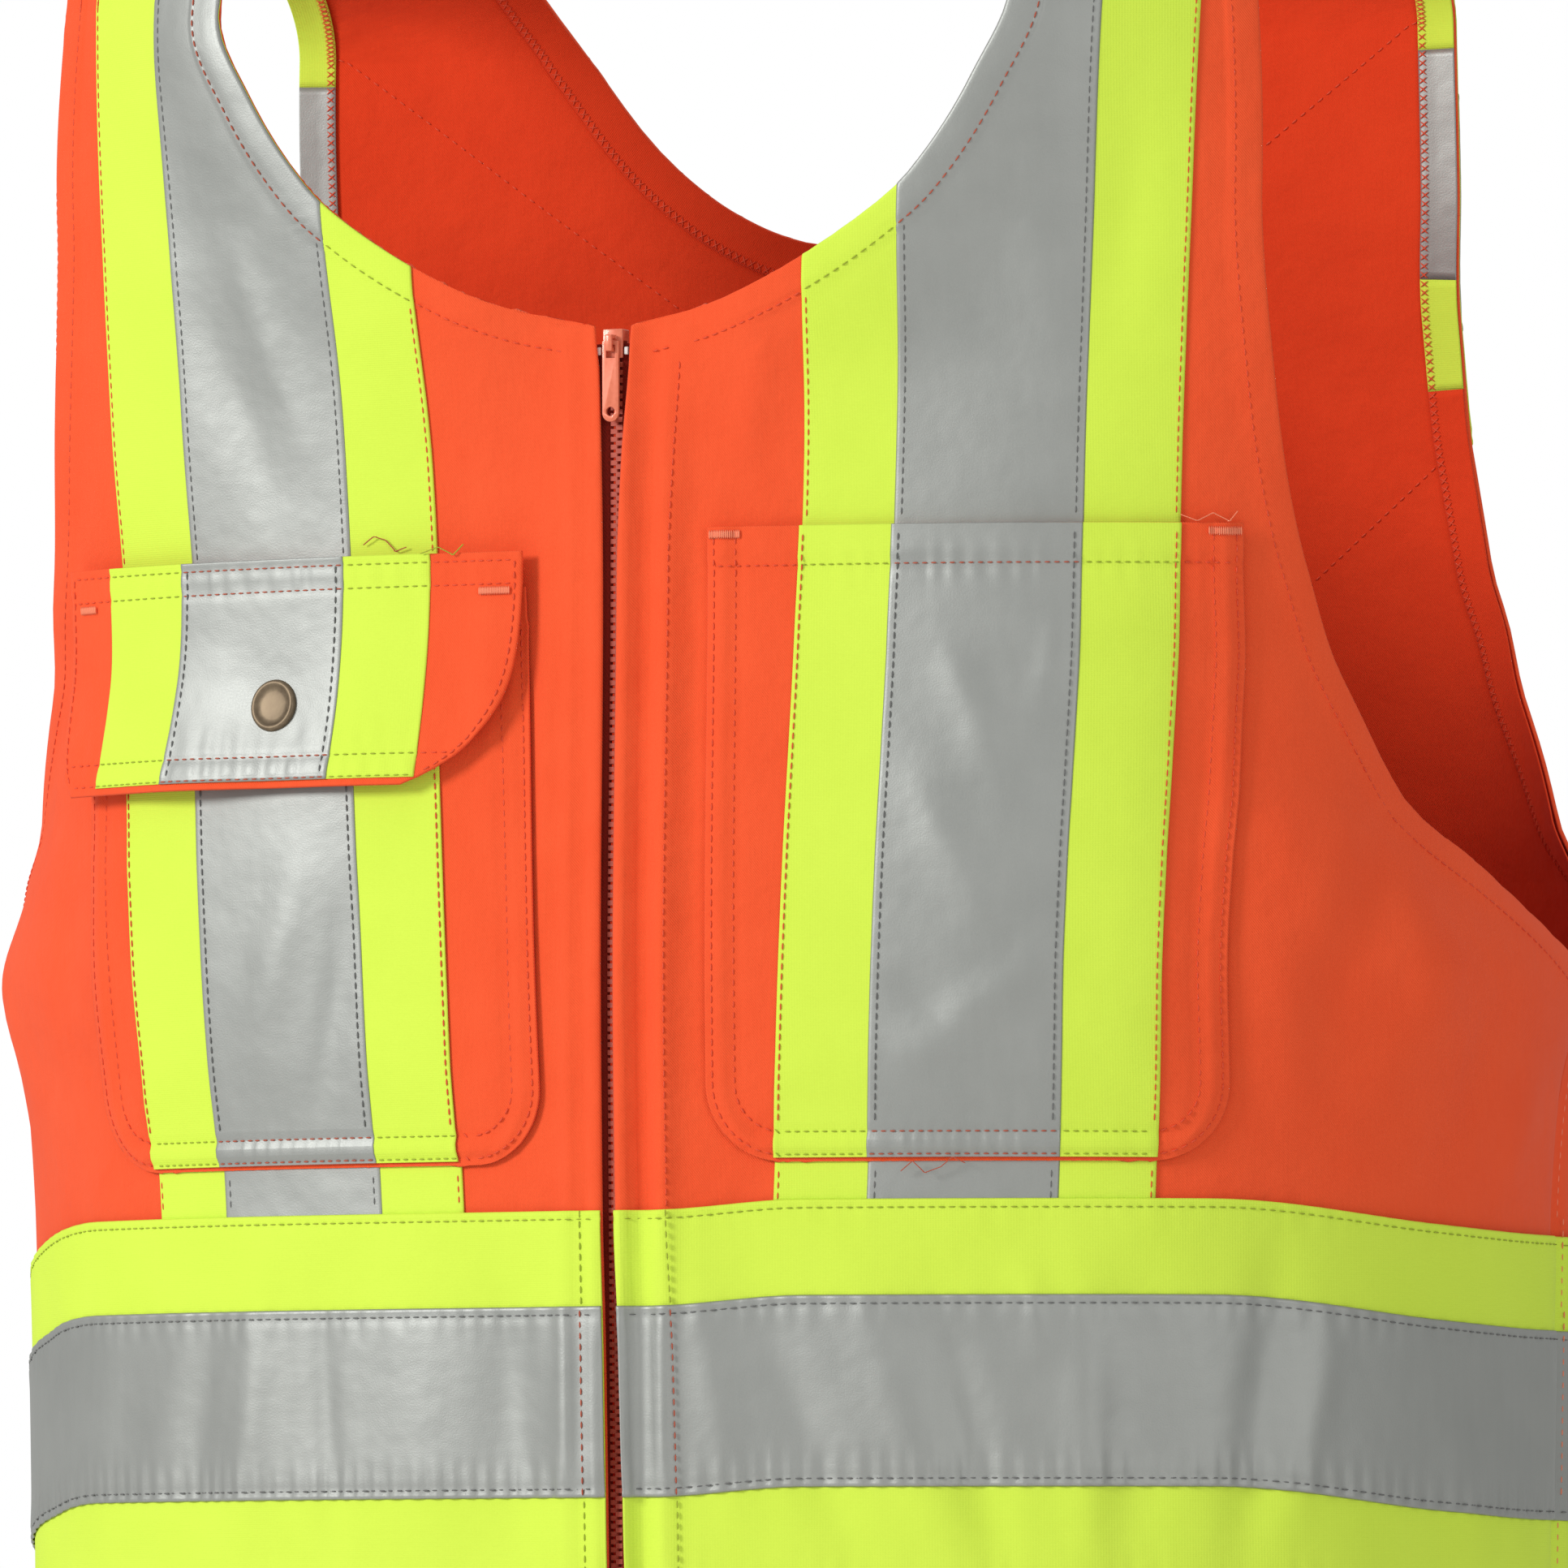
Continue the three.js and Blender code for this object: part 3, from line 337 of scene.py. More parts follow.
def spread(first, last, step, close=0.0):
    """Positions from first to last, close together at both ends and over a stretch at the first.

    Arrays give one row each.
    """
    first, last = np.atleast_1d(np.asarray(first, float)), np.atleast_1d(np.asarray(last, float))
    first, last = np.broadcast_arrays(first, last)
    width = last - first
    start = np.append(EDGE_STEPS, np.arange(EDGE_STEPS[-1] + CLOSE_STEP, close, CLOSE_STEP))
    ends = start[-1] + EDGE_STEPS[-1]
    share = np.minimum(1, np.abs(width) / (ends + 8))[:, None] * np.sign(width)[:, None]
    near = first[:, None] + start * share
    far = last[:, None] - EDGE_STEPS[::-1] * share
    count = max(2, int(np.ceil((np.abs(width).max() - ends) / step)))
    middle = near[:, -1:] + (far[:, :1] - near[:, -1:]) * np.linspace(0, 1, count + 1)[1:-1]
    return np.concatenate([near, middle, far], 1)


def rows_down(high, low, step, *extra):
    """Cloth distances down from one height to another, with extra rows at given heights."""
    rows = spread(drop(high), drop(low), step)[0]
    return np.unique(np.round(np.concatenate([rows, *[np.atleast_1d(drop(e)) for e in extra]]), 3))


def rows_from_shoulder(low, step, arch_step, *extra):
    """Cloth distances from the shoulder seam over the arch and down to a height."""
    arch = ARCH_LENGTH + ARCH_TOP - np.arange(FIRST_ROW, 100, arch_step)
    rows = rows_down(ARCH_TOP, low, step, arch, *extra)
    return rows[(rows >= FIRST_ROW) & (rows <= drop(WAIST_Z) - SEAM)]


def outer_edge(d, front):
    """Cloth distance from the centre line to the armhole edge, or the side seam below it."""
    z = height(d)
    around = girth(z, front)
    edge = around - at(FRONT_ARMHOLE if front else BACK_ARMHOLE, z)
    strap = across_to(STRAP_X, z, front)
    edge = np.where(d < ARCH_LENGTH, strap + (edge - strap) * d / ARCH_LENGTH, edge)
    return np.where(z <= UNDERARM_Z, around, edge)


def neck_x(d, neck):
    """The neckline's place across: over the arch it eases out to the shoulder as a cubic."""
    over = NECK_X + (at(neck, ARCH_TOP) - NECK_X) * (d / ARCH_LENGTH) ** 3
    return np.where(d < ARCH_LENGTH, over, at(neck, height(d)))


def tape_middle(d):
    """Middle line of the upright tapes, which lean out a little towards the shoulder."""
    z = height(d)
    return across_to(90.5 + (z + 343) * 0.049, z, True)


def front_inner(d, side=1):
    """A front's inner edge: the neckline, then the fly."""
    z = height(d)
    x = np.where(z > FRONT_NECK[-1][0], neck_x(d, FRONT_NECK), at(FLY_EDGE[side], z))
    return across_to(x, z, True)


def back_inner(d):
    z = height(d)
    return np.where(z > BACK_NECK[-1][0], across_to(neck_x(d, BACK_NECK), z, False), 0)


def near_line(s, d, line_s, line_d):
    """Shortest cloth distance from each point to a line of points."""
    flat = np.stack([np.ravel(s), np.ravel(d)], -1)
    line = np.stack([line_s, line_d], -1)
    best = np.full(len(flat), 1e9)
    for part in np.array_split(line, max(1, len(line) // 24)):
        gap = np.linalg.norm(flat[:, None] - part[None], axis=-1).min(1)
        best = np.minimum(best, gap)
    return best.reshape(np.shape(s))


def offset_line(s, d, by):
    """A line of cloth points moved sideways by a distance, to the right of its direction."""
    ds, dd = np.gradient(s), np.gradient(d)
    size = np.maximum(np.hypot(ds, dd), 1e-9)
    return s - dd / size * by, d + ds / size * by


# ---- Small relief ----------------------------------------------------------------------
def lip(gap, deep, wide):
    """Fall of an edge that rolls down in a quarter round: -deep (1 - sqrt(1 - (1 - gap / wide)^2))."""
    return -deep * (1 - np.sqrt(1 - (1 - np.clip(gap / wide, 0, 1)) ** 2))


def groove(off, deep=0.28, wide=0.8):
    return -deep * bell(off / wide)


def hemmed(gap, width):
    """Lift of a folded, topstitched edge: a doubled strip with a stitch groove and a round lip."""
    return (0.55 * ease((width + 1.2 - gap) / 1.6) + groove(gap - width + 0.8, 0.3, 0.7)
            + lip(gap, 0.45, 1.2))


def ripples(along, off, pitch, tall, reach):
    """Small puckers beside a row of stitches: a wavering ripple that fades away from the row."""
    return tall * np.sin(2 * np.pi * along / pitch + 1.4 * np.sin(along / 6.3)) * bell(off / reach)


def edge_rolls(s, deep=0.35, wide=1.0):
    """Fall of a strip's two long edges, which roll down to the cloth below."""
    return lip(np.minimum(np.abs(s - s[:, :1]), np.abs(s - s[:, -1:])), deep, wide)


NECK_DROPS = np.arange(0, drop(FRONT_NECK[-1][0]) + 0.5, 1.0)
NECK_LINE = front_inner(NECK_DROPS)
GAPE_STEP = 2.5
GAPE_S, GAPE_D = np.meshgrid(np.arange(0, 300, GAPE_STEP), np.arange(0, 330, GAPE_STEP))
GAPE = (8.5 * bell(near_line(GAPE_S, GAPE_D, NECK_LINE, NECK_DROPS) / 28)
        * ease((GAPE_D - 60) / 60) * ease((GAPE_S - 6) / 36))


def read_gape(reach, d):
    """The chest's neck edge stands away from the wearer, except at the zip and the shoulders."""
    reach, d = np.broadcast_arrays(reach, np.asarray(d, float))
    return between_cells(GAPE, d / GAPE_STEP, reach / GAPE_STEP)


# ---- Meshes -----------------------------------------------------------------------------
def add(name, points, faces, smooth=True):
    """A new object of points in millimetres."""
    mesh = bpy.data.meshes.new(name)
    mesh.from_pydata((points * MM).tolist(), [], faces)
    if smooth:
        mesh.shade_smooth()
    return stand(name, mesh)


def make_mesh(name, grids, flip=False, thick=0.0):
    """One mesh from grids of points with cloth coordinates, rows running down."""
    points, uvs, faces, base = [], [], [], 0
    for grid, uv in grids:
        r, c = grid.shape[:2]
        index = np.arange(r * c).reshape(r, c) + base
        quads = np.stack([index[:-1, :-1], index[1:, :-1], index[1:, 1:], index[:-1, 1:]], -1)
        quads = quads.reshape(-1, 4)
        faces.append(quads[:, ::-1] if flip else quads)
        points.append(grid.reshape(-1, 3))
        uvs.append(uv.reshape(-1, 2))
        base += r * c
    uvs, faces = np.concatenate(uvs), np.concatenate(faces)
    obj = add(name, np.concatenate(points), faces.tolist())
    layer = obj.data.uv_layers.new(name="cloth")
    layer.data.foreach_set("uv", (uvs[faces.ravel()] * MM).astype(np.float32).ravel())
    if thick:
        give_wall(obj, thick)
    return obj


def give_wall(obj, thick):
    """A wall on the inner side of a surface, its inner face in the piece's next material: on orange cloth, the
    darker inside orange, which is painted shade.
    """
    wall = obj.modifiers.new("wall", "SOLIDIFY")
    wall.thickness, wall.offset, wall.material_offset = thick * MM, -1.0, 1


def weld(obj):
    """Joins the doubles along a line where two grids meet, or in a mesh of loose triangles."""
    edit = bmesh.new()
    edit.from_mesh(obj.data)
    bmesh.ops.remove_doubles(edit, verts=edit.verts, dist=0.00002)
    edit.to_mesh(obj.data)
    edit.free()


def dress(obj, finish, stands_for=()):
    obj.data.materials.append(finish)
    # Orange cloth's inner faces take a darker, redder orange: painted shade for the inside of the garment.
    if finish is ORANGE:
        obj.data.materials.append(SHADED_INSIDE)
    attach(obj, "garment")
    if stands_for:
        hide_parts(*stands_for)
    return obj


def cloth(name, finish, s, d, front, lift, thick, stands_for, sag=0):
    """A piece of cloth on the grid (s, d), at a lift given for its outer face.
    """
    d = np.broadcast_to(d, s.shape)
    low = d + sag
    mirrored = s[0, -1] < s[0, 0]
    obj = make_mesh(name, [(lay(s, low, front, lift), np.stack([s, -low], -1))],
                    flip=(not front) != mirrored, thick=thick)
    dress(obj, finish, stands_for)
    return obj


# ---- Finishes ---------------------------------------------------------------------------
class Wire:
    """One output socket, with arithmetic that adds Math nodes."""

    def __init__(self, finish, socket):
        self.finish, self.socket = finish, socket

    def reckon(self, operation, a, b):
        return self.finish.node("ShaderNodeMath", {"operation": operation}, {0: a, 1: b})

    def __add__(self, other):
        return self.reckon("ADD", self, other)

    def __radd__(self, other):
        return self.reckon("ADD", other, self)

    def __mul__(self, other):
        return self.reckon("MULTIPLY", self, other)

    def __rmul__(self, other):
        return self.reckon("MULTIPLY", other, self)


class Finish:
    """A material and its node tree."""

    def __init__(self, name, **constants):
        self.material = bpy.data.materials.new(name)
        self.material.use_nodes = True
        self.tree = self.material.node_tree
        self.shader = self.tree.nodes["Principled BSDF"]
        for key, value in constants.items():
            self.shader.inputs[key.replace("_", " ")].default_value = value

    def node(self, kind, settings=None, inputs=None, output=0):
        made = self.tree.nodes.new(kind)
        for key, value in (settings or {}).items():
            setattr(made, key, value)
        for key, value in (inputs or {}).items():
            self.set(made.inputs[key], value)
        return Wire(self, made.outputs[output])

    def set(self, socket, value):
        if isinstance(value, Wire):
            self.tree.links.new(value.socket, socket)
        else:
            socket.default_value = value

    def feed(self, name, value):
        self.set(self.shader.inputs[name], value)

    def noise(self, where, scale, detail=2.0):
        return self.node("ShaderNodeTexNoise", {}, {"Vector": where, "Scale": scale, "Detail": detail})

    def stretch(self, where, factors):
        return self.node("ShaderNodeVectorMath", {"operation": "MULTIPLY"}, {0: where, 1: factors})

    def blend(self, share, a, b):
        return self.node("ShaderNodeMix", {"data_type": "RGBA"}, {0: share, 6: a, 7: b}, 2)

    def cloth_mm(self):
        """Cloth coordinates in millimetres, across and down, from the piece's own map."""
        uv = self.node("ShaderNodeUVMap", {"uv_map": "cloth"})
        mm = self.node("ShaderNodeVectorMath", {"operation": "SCALE"}, {0: uv, "Scale": 1000.0})
        parts = self.node("ShaderNodeSeparateXYZ", {}, {0: mm})
        return mm, parts, Wire(self, parts.socket.node.outputs[1])

    def wave(self, value, pitch):
        return self.node("ShaderNodeMath", {"operation": "SINE"}, {0: value * (2 * np.pi / pitch)})

    def bump(self, tall, strength, distance):
        self.feed("Normal", self.node("ShaderNodeBump", {}, {
            "Strength": strength, "Distance": distance, "Height": tall}))


def twill(name, light, dark, warp=0.62):
    """Twill: fine diagonal ribs, slubs along the yarns and a slight mottle in the dye."""
    f = Finish(name, Roughness=0.88, Specular_IOR_Level=0.25, Sheen_Weight=0.06)
    mm, u, v = f.cloth_mm()
    ribs = f.wave(u + v * 0.8, warp)
    yarn = f.noise(f.stretch(mm, (1.6, 0.12, 1)), 1.0)
    mottle = f.noise(mm, 0.045, 4.0)
    fine = f.noise(mm, 1.3, 3.0)
    shade = mottle * 0.55 + yarn * 0.25 + fine * 0.3 + ribs * 0.05
    f.feed("Base Color", f.blend(shade, (*dark, 1), (*light, 1)))
    crumple = f.noise(mm, 0.07, 3.0)
    f.bump(ribs * 0.5 + yarn * 0.9 + fine * 0.6 + crumple * 18, 0.6, 0.00012)
    return f.material


def tape_cloth(name, light, dark):
    """Flat woven tape: close cross ribs and a fine, even grain."""
    f = Finish(name, Roughness=0.8, Specular_IOR_Level=0.3)
    mm, u, v = f.cloth_mm()
    ribs = f.wave(v, 0.55) * 0.5 + f.wave(u, 0.7) * 0.4
    fine = f.noise(mm, 1.5, 2.0)
    mottle = f.noise(mm, 0.04, 3.0)
    f.feed("Base Color", f.blend(mottle * 0.6 + fine * 0.4, (*dark, 1), (*light, 1)))
    crumple = f.noise(mm, 0.07, 2.0)
    f.bump(ribs * 0.5 + fine * 0.7 + crumple * 8, 0.5, 0.0001)
    return f.material


def silver_cloth(name, light, dark):
    """Satin tape of tiny glass beads: a soft metal sheen, fine grain and faint rubbed streaks."""
    f = Finish(name, Roughness=0.5, Metallic=0.55, Specular_IOR_Level=0.5)
    mm = f.cloth_mm()[0]
    grain = f.noise(mm, 2.2, 2.0)
    cloud = f.noise(mm, 0.05, 3.0)
    streak = f.noise(f.stretch(mm, (0.3, 0.05, 1)), 1.0)
    f.feed("Base Color", f.blend(cloud * 0.5 + grain * 0.3 + streak * 0.2, (*dark, 1), (*light, 1)))
    f.feed("Roughness", 0.40 + grain * 0.12 + cloud * 0.1)
    crumple = f.noise(mm, 0.08, 2.0)
    f.bump(grain + crumple * 9, 0.35, 0.00012)
    return f.material


def plain_finish(name, light, dark, grain_mm, **constants):
    """Hard or thread finish: one colour with a fine object-space grain and a slight bump."""
    f = Finish(name, **constants)
    where = f.node("ShaderNodeTexCoord", output=3)
    grain = f.noise(where, 1000.0 / grain_mm, 3.0)
    f.feed("Base Color", f.blend(grain, (*dark, 1), (*light, 1)))
    f.feed("Roughness", constants["Roughness"] - 0.08 + grain * 0.16)
    f.bump(grain, 0.15, 0.00006)
    return f.material


def thread(name, light, dark, roughness=0.75):
    return plain_finish(name + "_thread", light, dark, 0.3, Roughness=roughness)


ORANGE = twill("orange_twill", (0.96, 0.118, 0.034), (0.84, 0.07, 0.014))
LIME = tape_cloth("lime_tape", (0.70, 0.91, 0.085), (0.61, 0.82, 0.06))
SILVER = silver_cloth("silver_tape", (0.42, 0.43, 0.405), (0.3, 0.31, 0.29))
# Painted shade: a darker, redder copy of the orange twill for the inside faces, in place of the shade inside the
# garment.
SHADED_INSIDE = twill("orange_twill_painted_shade_inside", (0.86, 0.062, 0.01), (0.7, 0.036, 0.004))
ZIP_CLOTH = twill("zip_tape", (0.36, 0.022, 0.01), (0.2, 0.01, 0.004), 0.8)
TEETH = plain_finish("zip_teeth", (0.62, 0.11, 0.055), (0.36, 0.035, 0.018), 0.8, Roughness=0.5)
ENAMEL = plain_finish("zip_metal", (0.88, 0.24, 0.13), (0.66, 0.13, 0.06), 1.2,
                      Roughness=0.38, Metallic=0.12, Coat_Weight=0.25)
WHITE = plain_finish("stop_plastic", (0.88, 0.85, 0.8), (0.74, 0.7, 0.64), 0.6, Roughness=0.45)
BRASS = plain_finish("snap_brass", (0.29, 0.22, 0.14), (0.12, 0.085, 0.055), 1.6,
                     Roughness=0.5, Metallic=0.75)
THREAD = {
    "orange": thread("orange", (0.9, 0.11, 0.036), (0.62, 0.05, 0.016)),
    # Painted shade: thread on the lime tape is a darker olive lime, for the shade in its stitch groove.
    "lime": thread("olive_painted_groove_shade", (0.42, 0.5, 0.03), (0.28, 0.34, 0.02)),
    "rust": thread("rust", (0.55, 0.12, 0.06), (0.36, 0.06, 0.03)),
    "grey": thread("grey", (0.2, 0.2, 0.19), (0.1, 0.1, 0.1), 0.7),
    "pale": thread("pale", (1.0, 0.3, 0.16), (0.85, 0.2, 0.1))}

# Each layer of safety tape: its word in a piece's name and in the part, finish and half width.
LIME_LAYER = ("lime", "tape", LIME, TAPE_HALF)
FOIL_LAYER = ("foil", "silver", SILVER, SILVER_HALF)
FOIL_THICK = 0.3

# ---- Stitches ---------------------------------------------------------------------------
sewn = {kind: [] for kind in THREAD}
RING = np.array([(np.cos(a), np.sin(a)) for a in np.arange(4) * np.pi / 2 + np.pi / 4])
STITCH = np.array([
    (-0.5, 0, 0), *[(-0.22, *r) for r in RING], *[(0.22, *r) for r in RING], (0.5, 0, 0)])
STITCH_TIPS = np.array([
    *[(0, 1 + (i + 1) % 4, 1 + i) for i in range(4)],
    *[(9, 5 + i, 5 + (i + 1) % 4) for i in range(4)]])
STITCH_SIDES = np.array([(1 + i, 1 + (i + 1) % 4, 5 + (i + 1) % 4, 5 + i) for i in range(4)])


def resample(points, pitch):
    """Points evenly spaced along a line of points."""
    run = np.concatenate([[0], np.cumsum(np.linalg.norm(np.diff(points, axis=0), axis=1))])
    count = max(1, int(run[-1] / pitch))
    where = (np.arange(count) + 0.5) * run[-1] / count
    return np.stack([np.interp(where, run, points[:, k]) for k in range(points.shape[1])], -1)


def sew(kind, s, d, front, lift, pitch=2.7, length=2.0, radius=0.24, turn=0.0):
    """A row of stitches along a cloth line, each a short pointed thread. turn slants them."""
    flat = resample(np.stack(np.broadcast_arrays(s, d, lift), -1).astype(float), pitch)
    s, d, lift = flat.T
    place = lay(s, d, front, lift)
    n = normal_at(s, d, front)
    ahead = np.gradient(flat[:, :2], axis=0) if len(flat) > 1 else np.ones((1, 2))
    ahead /= np.maximum(np.linalg.norm(ahead, axis=1, keepdims=True), 1e-9)
    c, w = np.cos(turn), np.sin(turn)
    ahead = np.stack([ahead[:, 0] * c - ahead[:, 1] * w, ahead[:, 0] * w + ahead[:, 1] * c], -1)
    along = lay(s + ahead[:, 0], d + ahead[:, 1], front, lift) - place
    along /= np.linalg.norm(along, axis=1, keepdims=True)
    over = np.cross(n, along)
    made = (place[:, None] + along[:, None] * STITCH[None, :, :1] * length
            + n[:, None] * STITCH[None, :, 1:2] * radius + over[:, None] * STITCH[None, :, 2:] * radius)
    sewn[kind].append(made.reshape(-1, 3))


def by_layer(off, plain, lime, silver):
    """The value for orange cloth, lime or silver tape, at a distance from the tape's middle."""
    return np.where(off < SILVER_HALF, silver, np.where(off < TAPE_HALF, lime, plain))


def front_layer(s, d, shift=0.0):
    """What shows on a front: 0 orange, 1 lime or 2 silver, and whether it is the trunk band."""
    z = height(d)
    upright = by_layer(np.abs(np.abs(s) - shift - tape_middle(d)), 0, 1, 2)
    band = (z < BAND_TOP) & (z > BAND_END)
    band_silver = (z < BAND_SILVER_TOP) & (z > BAND_SILVER_END)
    shows = np.where(band, np.where(band_silver, 2, 1), np.where(z > BAND_TOP, upright, 0))
    return shows, band


def sew_by_cloth(s, d, lift, shift=0.0, **how):
    """A front row whose thread takes the colour that it has on orange, lime or silver cloth; on lime it is
    painted a dark olive, painted shade of its stitch groove.
    """
    line = resample(np.stack(np.broadcast_arrays(s, d, lift), -1).astype(float), 0.8)
    shows = front_layer(line[:, 0], line[:, 1], shift)[0]
    cuts = np.flatnonzero(np.diff(shows)) + 1
    for part, layer in zip(np.split(line, cuts), np.split(shows, cuts)):
        if len(part) > 2:
            sew(["orange", "lime", "rust"][layer[0]], part[:, 0], part[:, 1], True, part[:, 2], **how)


def on_line(lift, s, d):
    """Values of a piece's lift along a line of cloth points."""
    s, d = np.broadcast_arrays(s, d)
    return lift(s[:, None], d[:, None])[:, 0]


# ---- Lifts of the outer faces -----------------------------------------------------------
PANEL, TAPE, FOIL = 1.2, 2.0, 2.35
BAND_TAPE, BAND_FOIL = TAPE + 1.0, FOIL + 1.5
POCKET, POCKET_TAPE, POCKET_FOIL = 3.3, 4.1, 4.45
FLAP, FLAP_TAPE, FLAP_FOIL = 6.2, 6.2 + 0.45, 6.2 + 0.8
WALL, THIN = 1.0, 0.5
SIDES = (("left", 1), ("right", -1))

# ---- Trunk fronts ----------------------------------------------------------------------
front_rows = rows_from_shoulder(
    WAIST_Z + SEAM, 5.0, 5.0, np.arange(-138, -96, 0.7), np.arange(-302, -264, 1.2))
edge_d = np.arange(FIRST_ROW, drop(UNDERARM_Z), 1.0)


def front_hems(s, d, side):
    """Lift of the folded neck, armhole and fly edges at cloth points of one side's front."""
    neck = near_line(np.abs(s), d, NECK_LINE, NECK_DROPS)
    arm = near_line(np.abs(s), d, outer_edge(edge_d, True), edge_d)
    fly = np.where(d > NECK_DROPS[-1], np.abs(s) - front_inner(d[:, :1], side)[:, :1], 99)
    folds = hemmed(fly, 11)
    if side > 0:
        folds = folds - 1.0 * bell((fly - 7.5) / 2.6) + 0.55 * bell((fly - 14.5) / 3.4)
    return hemmed(neck, 8.5) + hemmed(arm, 8) + folds


def front_piece(name, finish, side, rows, edges, step, lift, thick, stands_for, rests_on, relief,
                close=0.0):
    """One piece on a side's front, between two lines given for each row."""
    s = spread(*edges, step, close)
    d = np.broadcast_to(rows[:, None], s.shape)
    return cloth(name, finish, side * s, d, True, lift + relief(s, d), thick, stands_for)


for name, side in SIDES:
    front_piece(
        "front_cloth_" + name, ORANGE, side, front_rows,
        (front_inner(front_rows, side), outer_edge(front_rows, True)), 4.0, PANEL, WALL,
        ["front_" + name], ["back_cloth"], lambda s, d: front_hems(s, d, side), 22.0)

# ---- Shoulder tapes --------------------------------------------------------------------
rows = rows_from_shoulder(BAND_TOP - 1.5, 3.0, 5.0, np.arange(-128, -96, 0.8))
middle = tape_middle(rows)
for name, side in SIDES:
    inner = front_inner(rows, side) + 0.05
    for (layer, word, finish, half), below, step, lift, thick in (
            (LIME_LAYER, "front_cloth_", 2.5, TAPE, THIN),
            (FOIL_LAYER, "shoulder_lime_", 1.5, FOIL, FOIL_THICK)):
        front_piece(
            "shoulder_" + layer + "_" + name, finish, side, rows,
            (np.maximum(middle - half, inner), middle + half), step, lift, thick,
            ["shoulder_" + word + "_" + name, word + "_foot_" + name], [below + name],
            lambda s, d: front_hems(s, d, side) + edge_rolls(s))

# ---- Trunk band ------------------------------------------------------------------------
band_rows = rows_down(BAND_TOP, BAND_END, 2.5)
foil_rows = rows_down(BAND_SILVER_TOP, BAND_SILVER_END, 1.6)


def band_drop(s, front):
    """How much lower than level the band's lines run: they sink towards the side seams."""
    if not front:
        return 9.5 - 4.5 * np.sin(np.pi / 2 * np.clip(s / girth(BAND_TOP, False), -1, 1))
    left = 5.0 * ease((s - 150) / 110) - 2.5 * ease((s - 10) / 40) * ease((215 - s) / 60)
    return np.where(s > 0, left, 14.0 * ease((-s - 165) / 100))


def band_relief(s, d, low, high):
    """A row of stitches near each edge with its puckers, and edges that roll down."""
    top_row, low_row = d - high - 2.2, low - 2.2 - d
    pucker = ripples(s, low_row, 5.2, 0.34, 6) + ripples(s + 40, top_row, 6.1, 0.2, 4)
    return pucker + groove(top_row) + groove(low_row) + lip(np.minimum(d - high, low - d), 0.35, 0.9)


for name, side in (*SIDES, ("back", 0)):
    front = side != 0
    for (layer, word, finish, half), rows, step, lift, thick, below in (
            (LIME_LAYER, band_rows, 2.4 if front else 5.0, BAND_TAPE, THIN,
             "front_cloth_" + name if front else "back_cloth"),
            (FOIL_LAYER, foil_rows, 1.3 if front else 4.0, BAND_FOIL, FOIL_THICK, "band_lime_" + name)):
        around = girth(height(rows), front)
        if front:
            s = side * spread(front_inner(rows, side) + 0.1, around, step)
        else:
            s = spread(-around, around, step)
        d = np.broadcast_to(rows[:, None], s.shape)
        cloth("band_" + layer + "_" + name, finish, s, d, front,
              lift + band_relief(s, d, rows[-1], rows[0]), thick,
              ["band_" + word + ("_front_" if front else "_") + name], sag=band_drop(s, front))

# ---- Chest pockets ---------------------------------------------------------------------
CORNER = 20.0
POCKET_ROWS = (1.8, 7.6)
POCKET_TOP_ROW = 10


def pocket_inner(d, side):
    z = height(d)
    return across_to(np.full(np.shape(z), 25.0) if side > 0 else 19 + (z + 320) * 0.041, z, True)


def pocket_outer(d):
    z = height(d)
    return across_to(152.5 + (z + 330) * 0.04, z, True)


def pocket_edges(d, side):
    """Both side edges of a pocket, drawn in round its lower corners."""
    rise = np.clip(d - drop(POCKET_END) + CORNER, 0, CORNER)
    inset = CORNER - np.sqrt(CORNER ** 2 - rise ** 2)
    return pocket_inner(d, side) + inset, pocket_outer(d) - inset


def pocket_lift(side):
    """Edges sewn down to the panel, a turned top hem, two rows at the foot, puckers between."""
    def lift(s, d):
        inner, outer = pocket_edges(d[:, :1], side)
        low = drop(POCKET_END) - d
        top = d - drop(POCKET_TOP[side])
        gap = np.minimum(np.minimum(s - inner, outer - s), low)
        sewn_down = -0.5 * bell(np.clip(gap, 0, None) / 1.4) + 0.55 * bell((gap - 4.6) / 2.0)
        rows = (groove(gap - POCKET_ROWS[0], 0.35) + groove(gap - POCKET_ROWS[1], 0.45)
                + groove(top - POCKET_TOP_ROW, 0.5))
        hem = 0.5 * ease((11 - top) / 1.6)
        pucker = (ripples(s, low - 4.6, 3.6, 0.15 + 0.05 * np.sin(s / 5), 4.2)
                  + ripples(s, top - POCKET_TOP_ROW, 5.0, 0.16, 4))
        belly = 1.6 * ease(gap / 30) * ease(top / 30)
        return sewn_down + rows + hem + pucker + belly
    return lift


for name, side in SIDES:
    relief = pocket_lift(side)
    rows = rows_down(POCKET_TOP[side], POCKET_END, 2.2)
    bend = CORNER * np.sin(np.linspace(0, 1.5, 12))
    rows = np.unique(np.concatenate([rows, drop(POCKET_END) - CORNER + bend]))
    front_piece("pocket_cloth_" + name, ORANGE, side, rows, pocket_edges(rows, side), 2.0, POCKET, THIN,
                ["chest_pocket_" + name], ["front_cloth_" + name], relief)
    rows = rows[rows < drop(POCKET_END) - 0.8]
    middle = tape_middle(rows)
    inner, outer = pocket_edges(rows, side)
    for (layer, word, finish, half), below, step, lift in (
            (LIME_LAYER, "pocket_cloth_", 1.7, POCKET_TAPE), (FOIL_LAYER, "pocket_lime_", 1.0, POCKET_FOIL)):
        edges = np.maximum(middle - half, inner + 0.6), np.minimum(middle + half, outer - 0.6)
        front_piece("pocket_" + layer + "_" + name, finish, side, rows, edges, step, lift, FOIL_THICK,
                    ["pocket_" + word + "_" + name], [below + name],
                    lambda s, d: relief(s, d) + edge_rolls(s, 0.25, 0.7))

